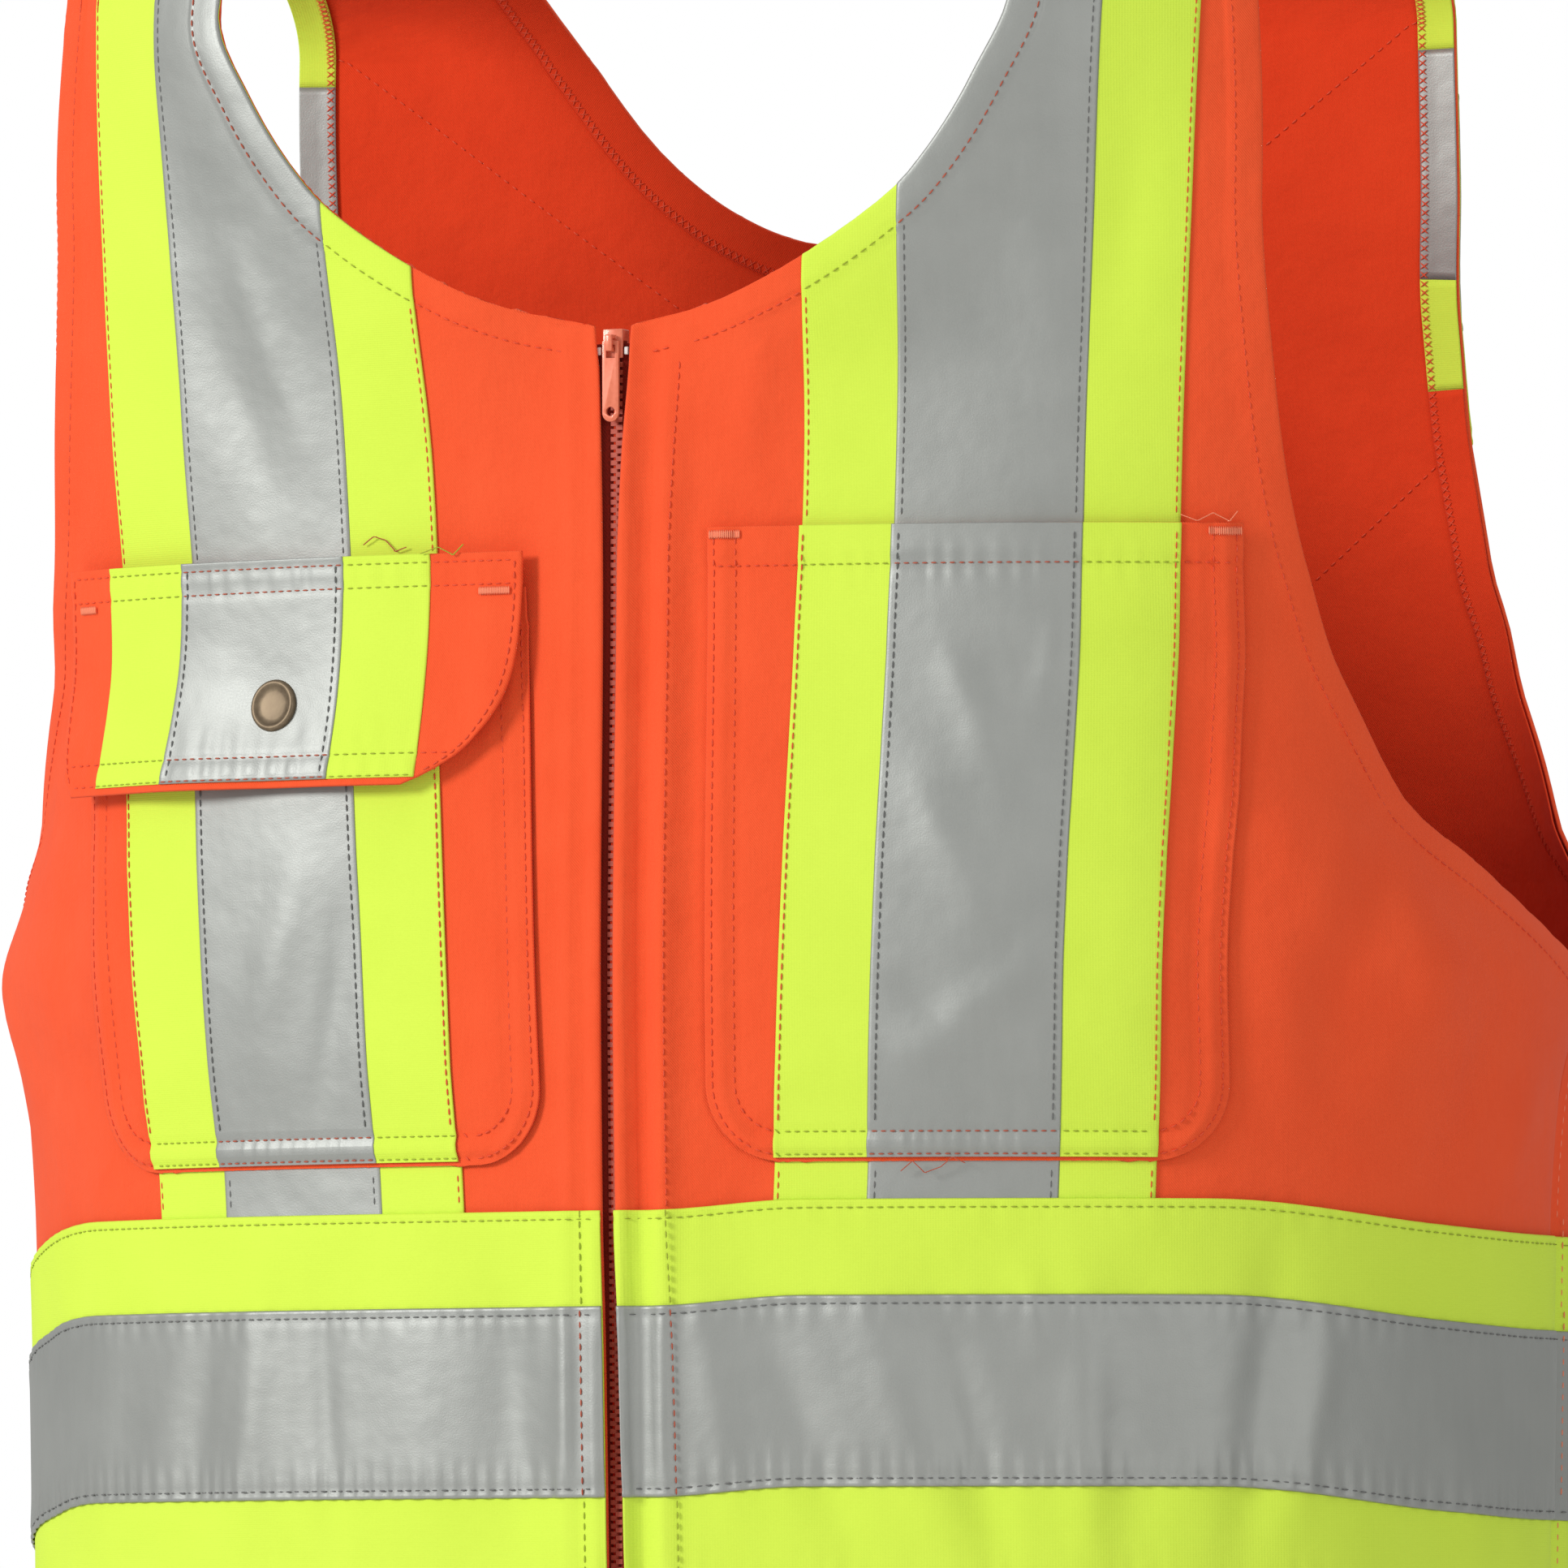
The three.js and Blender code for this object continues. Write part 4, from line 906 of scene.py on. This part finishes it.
# ---- Pocket flap on the wearer's right, and its snap -----------------------------------
FLAP_CUT, FLAP_ROUND, FLAP_LEAN, FLAP_CURL = 30.0, 8.0, 5.0, 6.0
FLAP_LONG = FLAP_TOP - FLAP_END
FLAP_ROWS = ((2.2, 8.2), (2.5, 8.2))
SNAP_X, SNAP_Z = 93.0, -232.0
SNAP_S, SNAP_D = float(across_to(SNAP_X, SNAP_Z, True)), drop(SNAP_Z)


def flap_fall(d):
    return np.clip((d - drop(FLAP_TOP)) / FLAP_LONG, 0, 1)


def flap_lean(d):
    """How far the flap's cloth has swung away from the fly, lower down."""
    return FLAP_LEAN * flap_fall(d) ** 1.5


def flap_edges(d):
    fall = flap_fall(d)
    return (pocket_inner(d, -1) - 1 + FLAP_CUT * fall ** 5 + flap_lean(d),
            pocket_outer(d) + 0.5 - FLAP_ROUND * fall ** 8 + flap_lean(d))


def flap_lift(s, d):
    """Stands off more and more towards its lower edge, with double rows at top and bottom."""
    fall = flap_fall(d)
    inner, outer = flap_edges(d[:, :1])
    low, top = drop(FLAP_END) - d, d - drop(FLAP_TOP)
    rows = sum(groove(top - row) for row in FLAP_ROWS[0]) + sum(groove(low - row) for row in FLAP_ROWS[1])
    pucker = (ripples(s, low - 5.2, 5.4, 0.22, 3.2) + ripples(s, top - 5, 5.8, 0.2, 3)
              + ripples(s + 9, low - 12, 7.0, 0.12, 5))
    roll = lip(np.minimum(np.minimum(s - inner, outer - s), low), 0.7, 1.6)
    hollow = -1.3 * bell((s - SNAP_S) / 14) * bell((d - SNAP_D) / 12)
    wave = 1.2 * fall * np.sin(s / 17 + 0.8) + 0.9 * fall ** 2 * np.sin(s / 8.5)
    return FLAP_CURL * fall ** 2 + rows + pucker + roll + hollow + wave


def flap_tape_lift(s, d):
    return flap_lift(s, d) + edge_rolls(s, 0.25, 0.7)


rows = np.unique(np.concatenate([
    rows_down(FLAP_TOP, FLAP_END, 1.4), drop(FLAP_END) - np.array([0.5, 1.2, 2, 3, 4.2, 5.6, 7.2, 9, 11])]))
front_piece("flap_cloth", ORANGE, -1, rows, flap_edges(rows), 1.6, FLAP, 1.1, ["pocket_flap"],
            ["pocket_cloth_right"], flap_lift)
rows = rows[rows < drop(FLAP_END) - 1.3]
inner, outer = flap_edges(rows)
middle = tape_middle(rows) + flap_lean(rows)
for (layer, word, finish, half), below, step, lift in (
        (LIME_LAYER, "flap_cloth", 1.4, FLAP_TAPE), (FOIL_LAYER, "flap_lime", 1.0, FLAP_FOIL)):
    edges = np.maximum(middle - half, inner + 0.5), np.minimum(middle + half, outer - 0.5)
    front_piece("flap_" + layer, finish, -1, rows, edges, step, lift, FOIL_THICK, ["flap_" + word], [below],
                flap_tape_lift)


def turned(name, profile, finish, seat, axis, stands_for, parts=40):
    """A body of revolution: a profile of (radius, rise) carried round an axis from its seat."""
    axis = axis / np.linalg.norm(axis)
    one = np.cross(axis, [0, 0, 1.0])
    one /= np.linalg.norm(one)
    two = np.cross(axis, one)
    r, h = np.array(profile, float).T
    angle = np.linspace(0, 2 * np.pi, parts, endpoint=False)
    ring = np.cos(angle)[:, None] * one + np.sin(angle)[:, None] * two
    points = seat + h[:, None, None] * axis + r[:, None, None] * ring[None]
    i, j = np.meshgrid(np.arange(len(r) - 1), np.arange(parts), indexing="ij")
    k = (j + 1) % parts
    faces = np.stack([i * parts + j, i * parts + k, (i + 1) * parts + k, (i + 1) * parts + j], -1)
    caps = [list(range(parts))[::-1], list(range((len(r) - 1) * parts, len(r) * parts))]
    obj = add(name, points.reshape(-1, 3), faces.reshape(-1, 4).tolist() + caps)
    return dress(obj, finish, stands_for)


def on_flap(over, down, lift):
    """A point of the flap near the snap, at a lift."""
    return lay(np.array([[-SNAP_S - over]]), np.array([[SNAP_D + down]]), True, lift)[0, 0]


snap_seat = on_flap(0, 0, FLAP_FOIL + on_line(flap_lift, np.array([SNAP_S]), SNAP_D))
near = [on_flap(a, b, FLAP + FLAP_CURL * flap_fall(SNAP_D + b) ** 2) for a, b in ((0, 0), (2, 0), (0, 2))]
snap_axis = np.cross(near[2] - near[0], near[0] - near[1])
snap_axis *= np.sign(-snap_axis[1])
turned("snap_button", [
    (5.2, -1.0), (6.2, -0.7), (6.75, -0.1), (6.8, 0.5), (6.55, 1.15), (6.0, 1.45), (5.5, 1.35), (5.05, 1.0),
    (4.7, 0.7), (3.6, 0.5), (2.2, 0.42), (0.9, 0.4), (0.05, 0.4)],
    BRASS, snap_seat, snap_axis, ["snap_cap"])

# ---- Back, with the crossed tapes ------------------------------------------------------
back_rows = rows_from_shoulder(
    WAIST_Z + SEAM, 6.0, 4.5, np.arange(-105, -80, 1.0), np.arange(-302, -270, 2.0))
back_neck_d = np.arange(0, drop(BACK_NECK[-1][0]) + 0.5, 1.0)
back_neck_s = back_inner(back_neck_d)


def back_hems(s, d):
    neck = near_line(np.abs(s), d, back_neck_s, back_neck_d)
    arm = near_line(np.abs(s), d, outer_edge(edge_d, False), edge_d)
    return hemmed(neck, 10) + hemmed(arm, 9)


half = spread(back_inner(back_rows), outer_edge(back_rows, False), 6.0)
d = np.broadcast_to(back_rows[:, None], half.shape)
lift = PANEL + back_hems(half, d)
grids = [(lay(s, d, False, tall), np.stack([s, -d], -1))
         for s, tall in ((half, lift), (-half[:, ::-1], lift[:, ::-1]))]
back_cloth = make_mesh("back_cloth", grids, flip=True)
weld(back_cloth)
give_wall(back_cloth, WALL)
dress(back_cloth, ORANGE, ["back"])
2 * half.max() * MM
2 * float(((half[1:, -1] - half[1:, 0]) * np.diff(back_rows)).sum()) * MM * MM

CROSS_LIFT, CROSS_RISE = PANEL + 0.9, 0.9
CROSS_COS, CROSS_SIN = np.cos(CROSS_ANGLE), np.sin(CROSS_ANGLE)


def on_strip(u, v, turn):
    """Place on the back of a point u along and v across a strip that slants one way."""
    return turn * (u * CROSS_COS + v * CROSS_SIN), CROSS_Z - u * CROSS_SIN + v * CROSS_COS


def strip_end(v, turn, way):
    """Where the strip meets the armhole edge, side seam or band, found by halving."""
    near, far = np.zeros(np.shape(v)), np.full(np.shape(v), 400.0)
    for _ in range(30):
        middle = (near + far) / 2
        s, z = on_strip(way * middle, v, turn)
        short = np.where(z < UNDERARM_Z - 20, 15.0, 0.3)
        inside = (z > BAND_TOP - 16) & (np.abs(s) < outer_edge(drop(z), False) - short)
        near, far = np.where(inside, middle, near), np.where(inside, far, middle)
    return way * near


def rise_over(s, z, turn):
    """How much the upper strip rises where it passes over the lower one."""
    across = (z - CROSS_Z) * CROSS_COS + s * CROSS_SIN
    return CROSS_RISE * (1 - ease((np.abs(across) - TAPE_HALF - 3) / 14)) if turn < 0 else 0 * across


def sew_strip(turn, way, wide, kind, lift):
    """One row along a strip, left out where the other strip lies over it."""
    v = way * wide
    start, end = (float(strip_end(np.array(v), turn, side)) for side in (-1, 1))
    run = np.arange(start + 3, end - 2, 1.0)
    s, z = on_strip(run, np.full(run.shape, v), turn)
    hidden = np.abs(run * np.sin(2 * CROSS_ANGLE) - v * np.cos(2 * CROSS_ANGLE)) < TAPE_HALF
    hidden &= turn > 0
    level = lift - 0.1 + rise_over(s, z, turn)
    for part in np.split(np.arange(len(run)), np.flatnonzero(np.diff(hidden.astype(int))) + 1):
        if len(part) > 6 and not hidden[part[0]]:
            sew(kind, s[part], drop(z[part]), False, level[part], pitch=3.0)
    if kind == "lime":
        sew("orange", s, drop(z), False, PANEL - WALL - 0.12, pitch=3.0)


for name, turn in (("lower", 1), ("upper", -1)):
    for (layer, word, finish, half), lift, step in (
            (LIME_LAYER, CROSS_LIFT, 3.0), (FOIL_LAYER, CROSS_LIFT + 0.4, 2.0)):
        v = spread(half, -half, step)[0]
        start, end = strip_end(v, turn, -1), strip_end(v, turn, 1)
        share = np.concatenate([
            np.linspace(0, 0.04, 8)[:-1], np.linspace(0.04, 0.96, 90), np.linspace(0.96, 1, 8)[1:]])
        u = start[None] + (end - start)[None] * share[:, None]
        v = np.broadcast_to(v[None], u.shape)
        s, z = on_strip(u, v, turn)
        off = half - np.abs(v)
        relief = groove(off - 2.2) + lip(off, 0.35, 0.9) + ripples(u, off - 2.2, 5.5, 0.18, 4)
        tall = lift + rise_over(s, z, turn) + relief + back_hems(np.abs(s), drop(z))
        obj = make_mesh("cross_" + layer + "_" + name,
                        [(lay(s, drop(z), False, tall), np.stack([v, u], -1))], turn < 0, FOIL_THICK)
        dress(obj, finish, ["back_" + word + "_" + name])
        2 * half * MM
        float(np.abs(end - start).mean()) * 2 * half * MM * MM
    for way in (1, -1):
        sew_strip(turn, way, SILVER_HALF - 2.2, "grey", CROSS_LIFT + 0.4)
        sew_strip(turn, way, TAPE_HALF - 2.0, "lime", CROSS_LIFT)

# ---- Legs ------------------------------------------------------------------------------
leg_rows = rows_down(WAIST_Z - SEAM, HEM_Z, 14.0, np.arange(-812, -736, 4.0))
HEM_DEEP = 20


def leg_inner(d, front, side=1):
    """A leg panel's inner edge: the fly, then the centre line and the inside seam."""
    z = height(d)
    edge_x = np.where(front & (z >= FLY_END_Z), at(FLY_EDGE[side], np.maximum(z, FLY_END_Z)), 0)
    return np.where(z > CROTCH_Z, across_to(edge_x, z, front), 0)


for name, side in SIDES:
    for part, front, beside in (("front", True, "front_cloth_" + name), ("back", False, "back_cloth")):
        s = spread(leg_inner(leg_rows, front, side), girth(height(leg_rows), front), 13.0)
        d = np.broadcast_to(leg_rows[:, None], s.shape)
        to_hem = drop(HEM_Z) - d
        lift = PANEL + 0.5 * ease((HEM_DEEP + 1 - to_hem) / 1.6) + groove(to_hem - HEM_DEEP)
        if front:
            lift = lift + hemmed(np.where(height(d) > FLY_END_Z, s - s[:, :1], 99), 11)
        cloth("leg_cloth_" + part + "_" + name, ORANGE, side * s, d, front, lift, WALL,
              ["leg_" + part + "_" + name])

# ---- Turned hems inside the neck and armholes -------------------------------------------
INSIDE = PANEL - WALL - 0.25
HEM_SHARES = np.array([0.0, 0.03, 0.1, 0.25, 0.45, 0.65, 0.85, 0.95, 1.0])


def inside_strip(name, finish, s, d, width, side):
    """A hem turned to the inside of the back: from the edge inwards by its width, behind the panel."""
    in_s, in_d = offset_line(s, d, width)
    ss = s[:, None] + (in_s - s)[:, None] * HEM_SHARES
    dd = d[:, None] + (in_d - d)[:, None] * HEM_SHARES
    grid = lay(side * ss, dd, False, INSIDE - 0.35 * bell((HEM_SHARES - 0.9) / 0.1)[None, :])
    obj = make_mesh(name, [(grid, np.stack([ss, -dd], -1))], flip=(width > 0) != (side > 0), thick=0.45)
    dress(obj, finish)
    for turn in (0.9, -0.9):
        sew("orange", side * (s + (in_s - s) * 0.88), d + (in_d - d) * 0.88, False, INSIDE - 0.85,
            pitch=2.2, length=3.0, radius=0.2, turn=turn)


neck = (back_neck_d > 12) & (back_neck_d <= drop(BACK_NECK[-1][0]) - 0.2)
arm_d = np.arange(2, drop(-280), 2.0)
arm_s = outer_edge(arm_d, False)
tall = ARCH_LENGTH + ARCH_TOP - arm_d
for name, side in SIDES:
    # The cloth parts of the turned armhole hems, and the neck hems, take the darker inside orange: painted
    # shade.
    for tone, finish, high, low in (("top", LIME, 20, -56), ("foil", SILVER, -56, -117),
                                    ("lime", LIME, -117, -144), ("cloth", SHADED_INSIDE, -144, -290)):
        first, last = (int(np.argmin(np.abs(tall - level))) for level in (high, low))
        part = slice(first, last + 1)
        inside_strip("armhole_hem_" + tone + "_" + name, finish, arm_s[part], arm_d[part], 10.0, side)
    inside_strip("neck_hem_" + name, SHADED_INSIDE, back_neck_s[neck], back_neck_d[neck], -11.0, side)

# ---- Zip -------------------------------------------------------------------------------
BEHIND = -0.7
zip_d = np.arange(drop(-141.6), drop(FLY_END_Z), 3.0)
for name, side in SIDES:
    s = np.broadcast_to(np.linspace(0.9, 17.3, 10), (len(zip_d), 10))
    cloth("zip_cloth_" + name, ZIP_CLOTH, side * s, zip_d[:, None], True, BEHIND - 0.9, 0.4,
          ["zip_tape_" + name])

TOOTH = np.array([(x, y, z) for z in (-0.5, 0.5) for x, y in (
    (-1, -0.6), (0.7, -0.6), (1, -0.2), (1, 0.2), (0.7, 0.6), (-1, 0.6))])
TOOTH_SIZE = np.array([1.05, 1.2, 1.25])
TEETH_OFF, TEETH_PITCH = 0.5, 2.0
TOOTH_FACES = [(5, 4, 3, 2, 1, 0), (6, 7, 8, 9, 10, 11),
               *[(i, (i + 1) % 6, 6 + (i + 1) % 6, 6 + i) for i in range(6)]]
teeth = []
for name, side in SIDES:
    d = np.arange(drop(-146.5), drop(FLY_END_Z + 1), TEETH_PITCH) + side * TEETH_PITCH / 4
    base = lay(0.62 * side + TEETH_OFF + 0 * d, d, True, BEHIND - 0.8)
    out = normal_at(0.95 * side + 0 * d, d, True)
    long, wide, tall = (TOOTH[None, :, k:k + 1] * TOOTH_SIZE[k] for k in range(3))
    teeth.append(base[:, None] - long * side * np.array([1, 0, 0]) + wide * out[:, None]
                 + tall * np.array([0, 0, 1]))
teeth = np.concatenate(teeth)
chain = add("zip_teeth_rows", teeth.reshape(-1, 3), [
    [tooth * len(TOOTH) + i for i in face] for tooth in range(len(teeth)) for face in TOOTH_FACES], False)
dress(chain, TEETH, ["zip_chain"])
edit = bmesh.new()
edit.from_mesh(chain.data)
bmesh.ops.recalc_face_normals(edit, faces=edit.faces)
edit.to_mesh(chain.data)
edit.free()


def softened(node, name, finish, bevel, body="garment"):
    """A hard piece with the part's own shape: a merged copy with rounded edges."""
    mesh = bpy.data.objects[node].data.copy()
    mesh.name = name
    obj = stand(name, mesh)
    weld(obj)
    mesh.materials.clear()
    mesh.materials.append(finish)
    edge = obj.modifiers.new("edge", "BEVEL")
    edge.width, edge.segments = bevel * MM, 2
    edge.limit_method, edge.angle_limit = "ANGLE", np.radians(35)
    mesh.shade_smooth()
    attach(obj, body)
    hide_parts(node)


softened("zip_slider", "slider_body", ENAMEL, 0.25)
softened("zip_pull", "pull_tab_body", ENAMEL, 0.3, "pull_tab")
for name, side in SIDES:
    softened("zip_stop_" + name, "stop_" + name, WHITE, 0.25)

# ---- Sewing ----------------------------------------------------------------------------
# The rows along an upright tape: place from its middle, thread, and the face that they lie on.
TAPE_ROWS = ((SILVER_HALF - 2, "grey", FOIL), (2 - SILVER_HALF, "grey", FOIL),
             (TAPE_HALF - 1.2, "orange", TAPE), (1.2 - TAPE_HALF, "orange", TAPE))
BAR_TACK = {"pitch": 0.5, "radius": 0.3, "turn": np.pi / 2}
SEAM_ROWS = (3.0, 8.5)
LEG_STITCH = {"pitch": 3.4, "length": 2.4}
POCKET_STITCH = {"pitch": 2.3, "length": 1.7}


def panel_top(s, d):
    """Lift of the top face of the layers on a front, from the panel up to the band."""
    shows, band = front_layer(s, d)
    return np.where(band, np.array([0, TAPE + 0.95, FOIL + 1.45])[shows], np.array([PANEL, TAPE, FOIL])[shows])


for name, side in SIDES:
    # neck, armhole and fly rows
    s, d = offset_line(NECK_LINE, NECK_DROPS, -8.0)
    on = (d > 3) & (s > front_inner(d) + 2)
    sew_by_cloth(side * s[on], d[on], panel_top(s, d)[on] + 0.45)
    d = edge_d[edge_d > 4]
    s, d = offset_line(outer_edge(edge_d, True)[edge_d > 4], d, 7.0)
    sew("orange", side * s, d, True, PANEL + 0.42)
    d = np.arange(drop(-146), drop(WAIST_Z) - 2, 1.0)
    s = front_inner(d, side) + (13.5 if side > 0 else 6.0)
    sew_by_cloth(side * s, d, panel_top(s, d) + (0.6 if side > 0 else 0.3))
    # edges of the shoulder tapes
    for d in (np.arange(3, drop(POCKET_TOP[side]) - 1, 1.0),
              np.arange(drop(POCKET_END) + 2, drop(BAND_TOP) - 1, 1.0)):
        for offset, kind, lift in TAPE_ROWS:
            s = tape_middle(d) + offset
            on = s > front_inner(d) + 1
            if on.sum() > 4:
                sew(kind, side * s[on], d[on], True, lift, pitch=2.5)
    # edges of the band, front and back
    reach = np.arange(4, 278, 1.0)
    for z, kind, lift in ((BAND_TOP - 2.2, "lime", BAND_TAPE - 0.1), (BAND_END + 2.2, "lime", BAND_TAPE - 0.1),
                          (BAND_SILVER_TOP - 2.2, "grey", BAND_FOIL - 0.1),
                          (BAND_SILVER_END + 2.2, "grey", BAND_FOIL - 0.1)):
        s = side * reach[(reach > front_inner(np.array([drop(z)]), side)[0] + 2) & (reach < girth(z, True) - 2)]
        sew(kind, s, drop(z) + band_drop(s, True), True, lift, pitch=2.6)
        s = side * np.arange(1, float(girth(z, False)) - 2, 1.0)
        sew(kind, s, drop(z) + band_drop(s, False), False, lift, pitch=3.0)
    # side seams of trunk and leg, sewn down on the back
    trunk_d = np.arange(drop(UNDERARM_Z) + 6, drop(WAIST_Z) - 3, 1.0)
    leg_d = np.arange(drop(WAIST_Z) + 6, drop(HEM_Z) - 4, 4.0)
    for inset in SEAM_ROWS:
        s = girth(height(trunk_d), False) - inset
        sew("pale", side * s, trunk_d, False, panel_top(s, trunk_d), pitch=3.0)
    for inset in SEAM_ROWS:
        sew("orange", side * (girth(height(leg_d), False) - inset), leg_d, False, PANEL + 0.05, **LEG_STITCH)
    # waist and hem rows
    for front in (True, False):
        for z in (WAIST_Z - SEAM_ROWS[0], WAIST_Z - SEAM_ROWS[1], HEM_Z + HEM_DEEP):
            first = float(leg_inner(np.array([drop(z)]), front)[0]) + 2
            s = np.arange(first, float(girth(z, front)) - 2, 1.5)
            sew("orange", side * s, drop(z), front, PANEL + 0.1, **LEG_STITCH)
    # pocket rows
    lift_of = pocket_lift(side)
    top, foot = drop(POCKET_TOP[side]), drop(POCKET_END)

    def pocket_level(s, d, extra=0.15):
        base = by_layer(np.abs(s - tape_middle(d)), POCKET, POCKET_TAPE, POCKET_FOIL)
        return base + on_line(lift_of, s, d) + extra

    for inset in POCKET_ROWS:
        bend = (CORNER - inset) * np.sin(np.linspace(0, np.pi / 2, 24))
        d = np.concatenate([np.arange(top + 2, foot - CORNER, 1.0), foot - CORNER + bend])
        bend = np.clip(d - foot + CORNER, 0, None)
        arc = CORNER - np.sqrt(np.maximum((CORNER - inset) ** 2 - bend ** 2, 0))
        inner = pocket_inner(d, side) + np.where(bend > 0, arc, inset)
        outer = pocket_outer(d) - np.where(bend > 0, arc, inset)
        for s in (inner, outer):
            sew_by_cloth(side * s, d, pocket_level(s, d))
        s = np.arange(inner[-1], outer[-1], 0.8)
        sew_by_cloth(side * s, foot - inset, pocket_level(s, foot - inset), **POCKET_STITCH)
    if side > 0:
        inner, outer = (float(edge[0]) for edge in pocket_edges(np.array([top]), side))
        s = np.arange(inner + 2, outer - 2, 0.8)
        row = top + POCKET_TOP_ROW
        sew_by_cloth(side * s, row, pocket_level(s, row), **POCKET_STITCH)
        for s in (inner + np.linspace(0.5, 9, 30), outer - np.linspace(0.5, 9, 30)):
            sew("pale", side * s, top + 2, True, pocket_level(s, top + 2, 0.35), length=2.6, **BAR_TACK)
    d = np.arange(top + 2, foot - 9, 1.0)
    for offset, kind, _ in TAPE_ROWS:
        s = tape_middle(d) + offset
        sew(kind, side * s, d, True, pocket_level(s, d), pitch=2.5)


def flap_level(s, d, base):
    return base + on_line(flap_lift, s, d)


for down in (*FLAP_ROWS[0], *[FLAP_LONG - row for row in FLAP_ROWS[1][::-1]]):
    d = drop(FLAP_TOP) + down
    inner, outer = (float(edge[0]) for edge in flap_edges(np.array([d])))
    s = np.arange(inner + 2.5, outer - 2.0, 0.8)
    shift = float(flap_lean(d))
    face = by_layer(np.abs(s - shift - tape_middle(np.full(s.shape, d))), FLAP, FLAP_TAPE, FLAP_FOIL)
    sew_by_cloth(-s, d, flap_level(s, d, face + 0.15), shift=shift, pitch=2.4, length=1.8)
d = np.arange(drop(FLAP_TOP) + 2, drop(FLAP_END) - 3, 1.0)
inner, outer = flap_edges(d)
for s in (inner + 2.0, outer - 2.0):
    sew("orange", -s, d, True, flap_level(s, d, FLAP + 0.15))
for offset, kind, _ in TAPE_ROWS[:2]:
    s = tape_middle(d) + flap_lean(d) + offset
    sew(kind, -s, d, True, flap_level(s, d, FLAP_FOIL + 0.15), pitch=2.5)
row = drop(FLAP_TOP) + 10.0
inner, outer = (float(edge[0]) for edge in flap_edges(np.array([drop(FLAP_TOP)])))
for first, last in ((inner + 3, inner + 12), (outer - 11, outer - 5)):
    s = np.linspace(first, last, 24)
    sew("pale", -s, row, True, flap_level(s, row, FLAP + 0.6), length=2.4, **BAR_TACK)

# loose thread ends, each a chain of short lengths that overlap
for kind, side, line, base in (
        ("rust", 1, [(92, 402.5), (89, 401), (86, 403.5), (82, 405), (79, 402), (76, 404.5)],
         POCKET_FOIL + 0.6),
        ("rust", -1, [(70, 243), (67, 241), (64, 242), (61, 245), (58, 244)], FOIL + 0.6),
        ("lime", -1, [(52, 246), (47, 244.5), (43, 246.5), (40, 244)], FLAP + 1.2),
        ("pale", 1, [(147, 239), (151, 240.5), (155, 238.5), (159, 240.5), (161, 238)], POCKET + 0.9)):
    points = np.array(line, float)
    run = np.linspace(0, len(points) - 1, 60)
    s, d = (np.interp(run, np.arange(len(points)), points[:, k]) for k in (0, 1))
    sew(kind, side * s, d, True, base + 0.3 * np.sin(run * 2.1), pitch=0.7, length=1.3, radius=0.17)

for kind, parts in sewn.items():
    points = np.concatenate(parts)
    first = np.arange(0, len(points), len(STITCH))[:, None, None]
    faces = (STITCH_TIPS + first).reshape(-1, 3).tolist() + (STITCH_SIDES + first).reshape(-1, 4).tolist()
    obj = add("stitches_" + kind, points, faces)
    dress(obj, THREAD[kind])

FLOOR_HALF, FLOOR_Z = 6000, -1560
floor = add("floor", np.array([
    (x * FLOOR_HALF, y * FLOOR_HALF, FLOOR_Z) for x, y in ((-1, -1), (1, -1), (1, 1), (-1, 1))]), [(0, 1, 2, 3)])
floor.data.materials.append(
    plain_finish("floor_paint", (0.86, 0.86, 0.85), (0.82, 0.82, 0.81), 40.0, Roughness=0.8))


def lamp(name, place, aim, size, power):
    """A round lamp at a place in metres, turned to its aim."""
    light = bpy.data.lights.new(name, "AREA")
    light.shape, light.size, light.energy = "DISK", size, power
    obj = stand(name, light)
    obj.location = place
    obj.rotation_mode = "QUATERNION"
    obj.rotation_quaternion = (Vector(aim) - Vector(place)).to_track_quat("-Z", "Y")


lamp("key", (-2.2, -2.8, 0.9), (0, 0, -0.3), 1.1, 80)
lamp("fill", (2.6, -2.6, 0.2), (0, 0, -0.3), 1.6, 17)
lamp("top", (-0.4, 0.4, 2.4), (0, 0, -0.2), 1.4, 9)
# The sky lights the cloth at half the strength at which it is seen.
world = bpy.data.worlds.new("studio")
bpy.context.scene.world = world
world.use_nodes = True
nodes, links = world.node_tree.nodes, world.node_tree.links
background = nodes["Background"]
background.inputs["Color"].default_value = (1, 1, 1, 1)
to_camera = nodes.new("ShaderNodeLightPath")
strength = nodes.new("ShaderNodeMapRange")
strength.inputs["To Min"].default_value, strength.inputs["To Max"].default_value = 0.5, 1.0
links.new(to_camera.outputs["Is Camera Ray"], strength.inputs["Value"])
links.new(strength.outputs["Result"], background.inputs["Strength"])
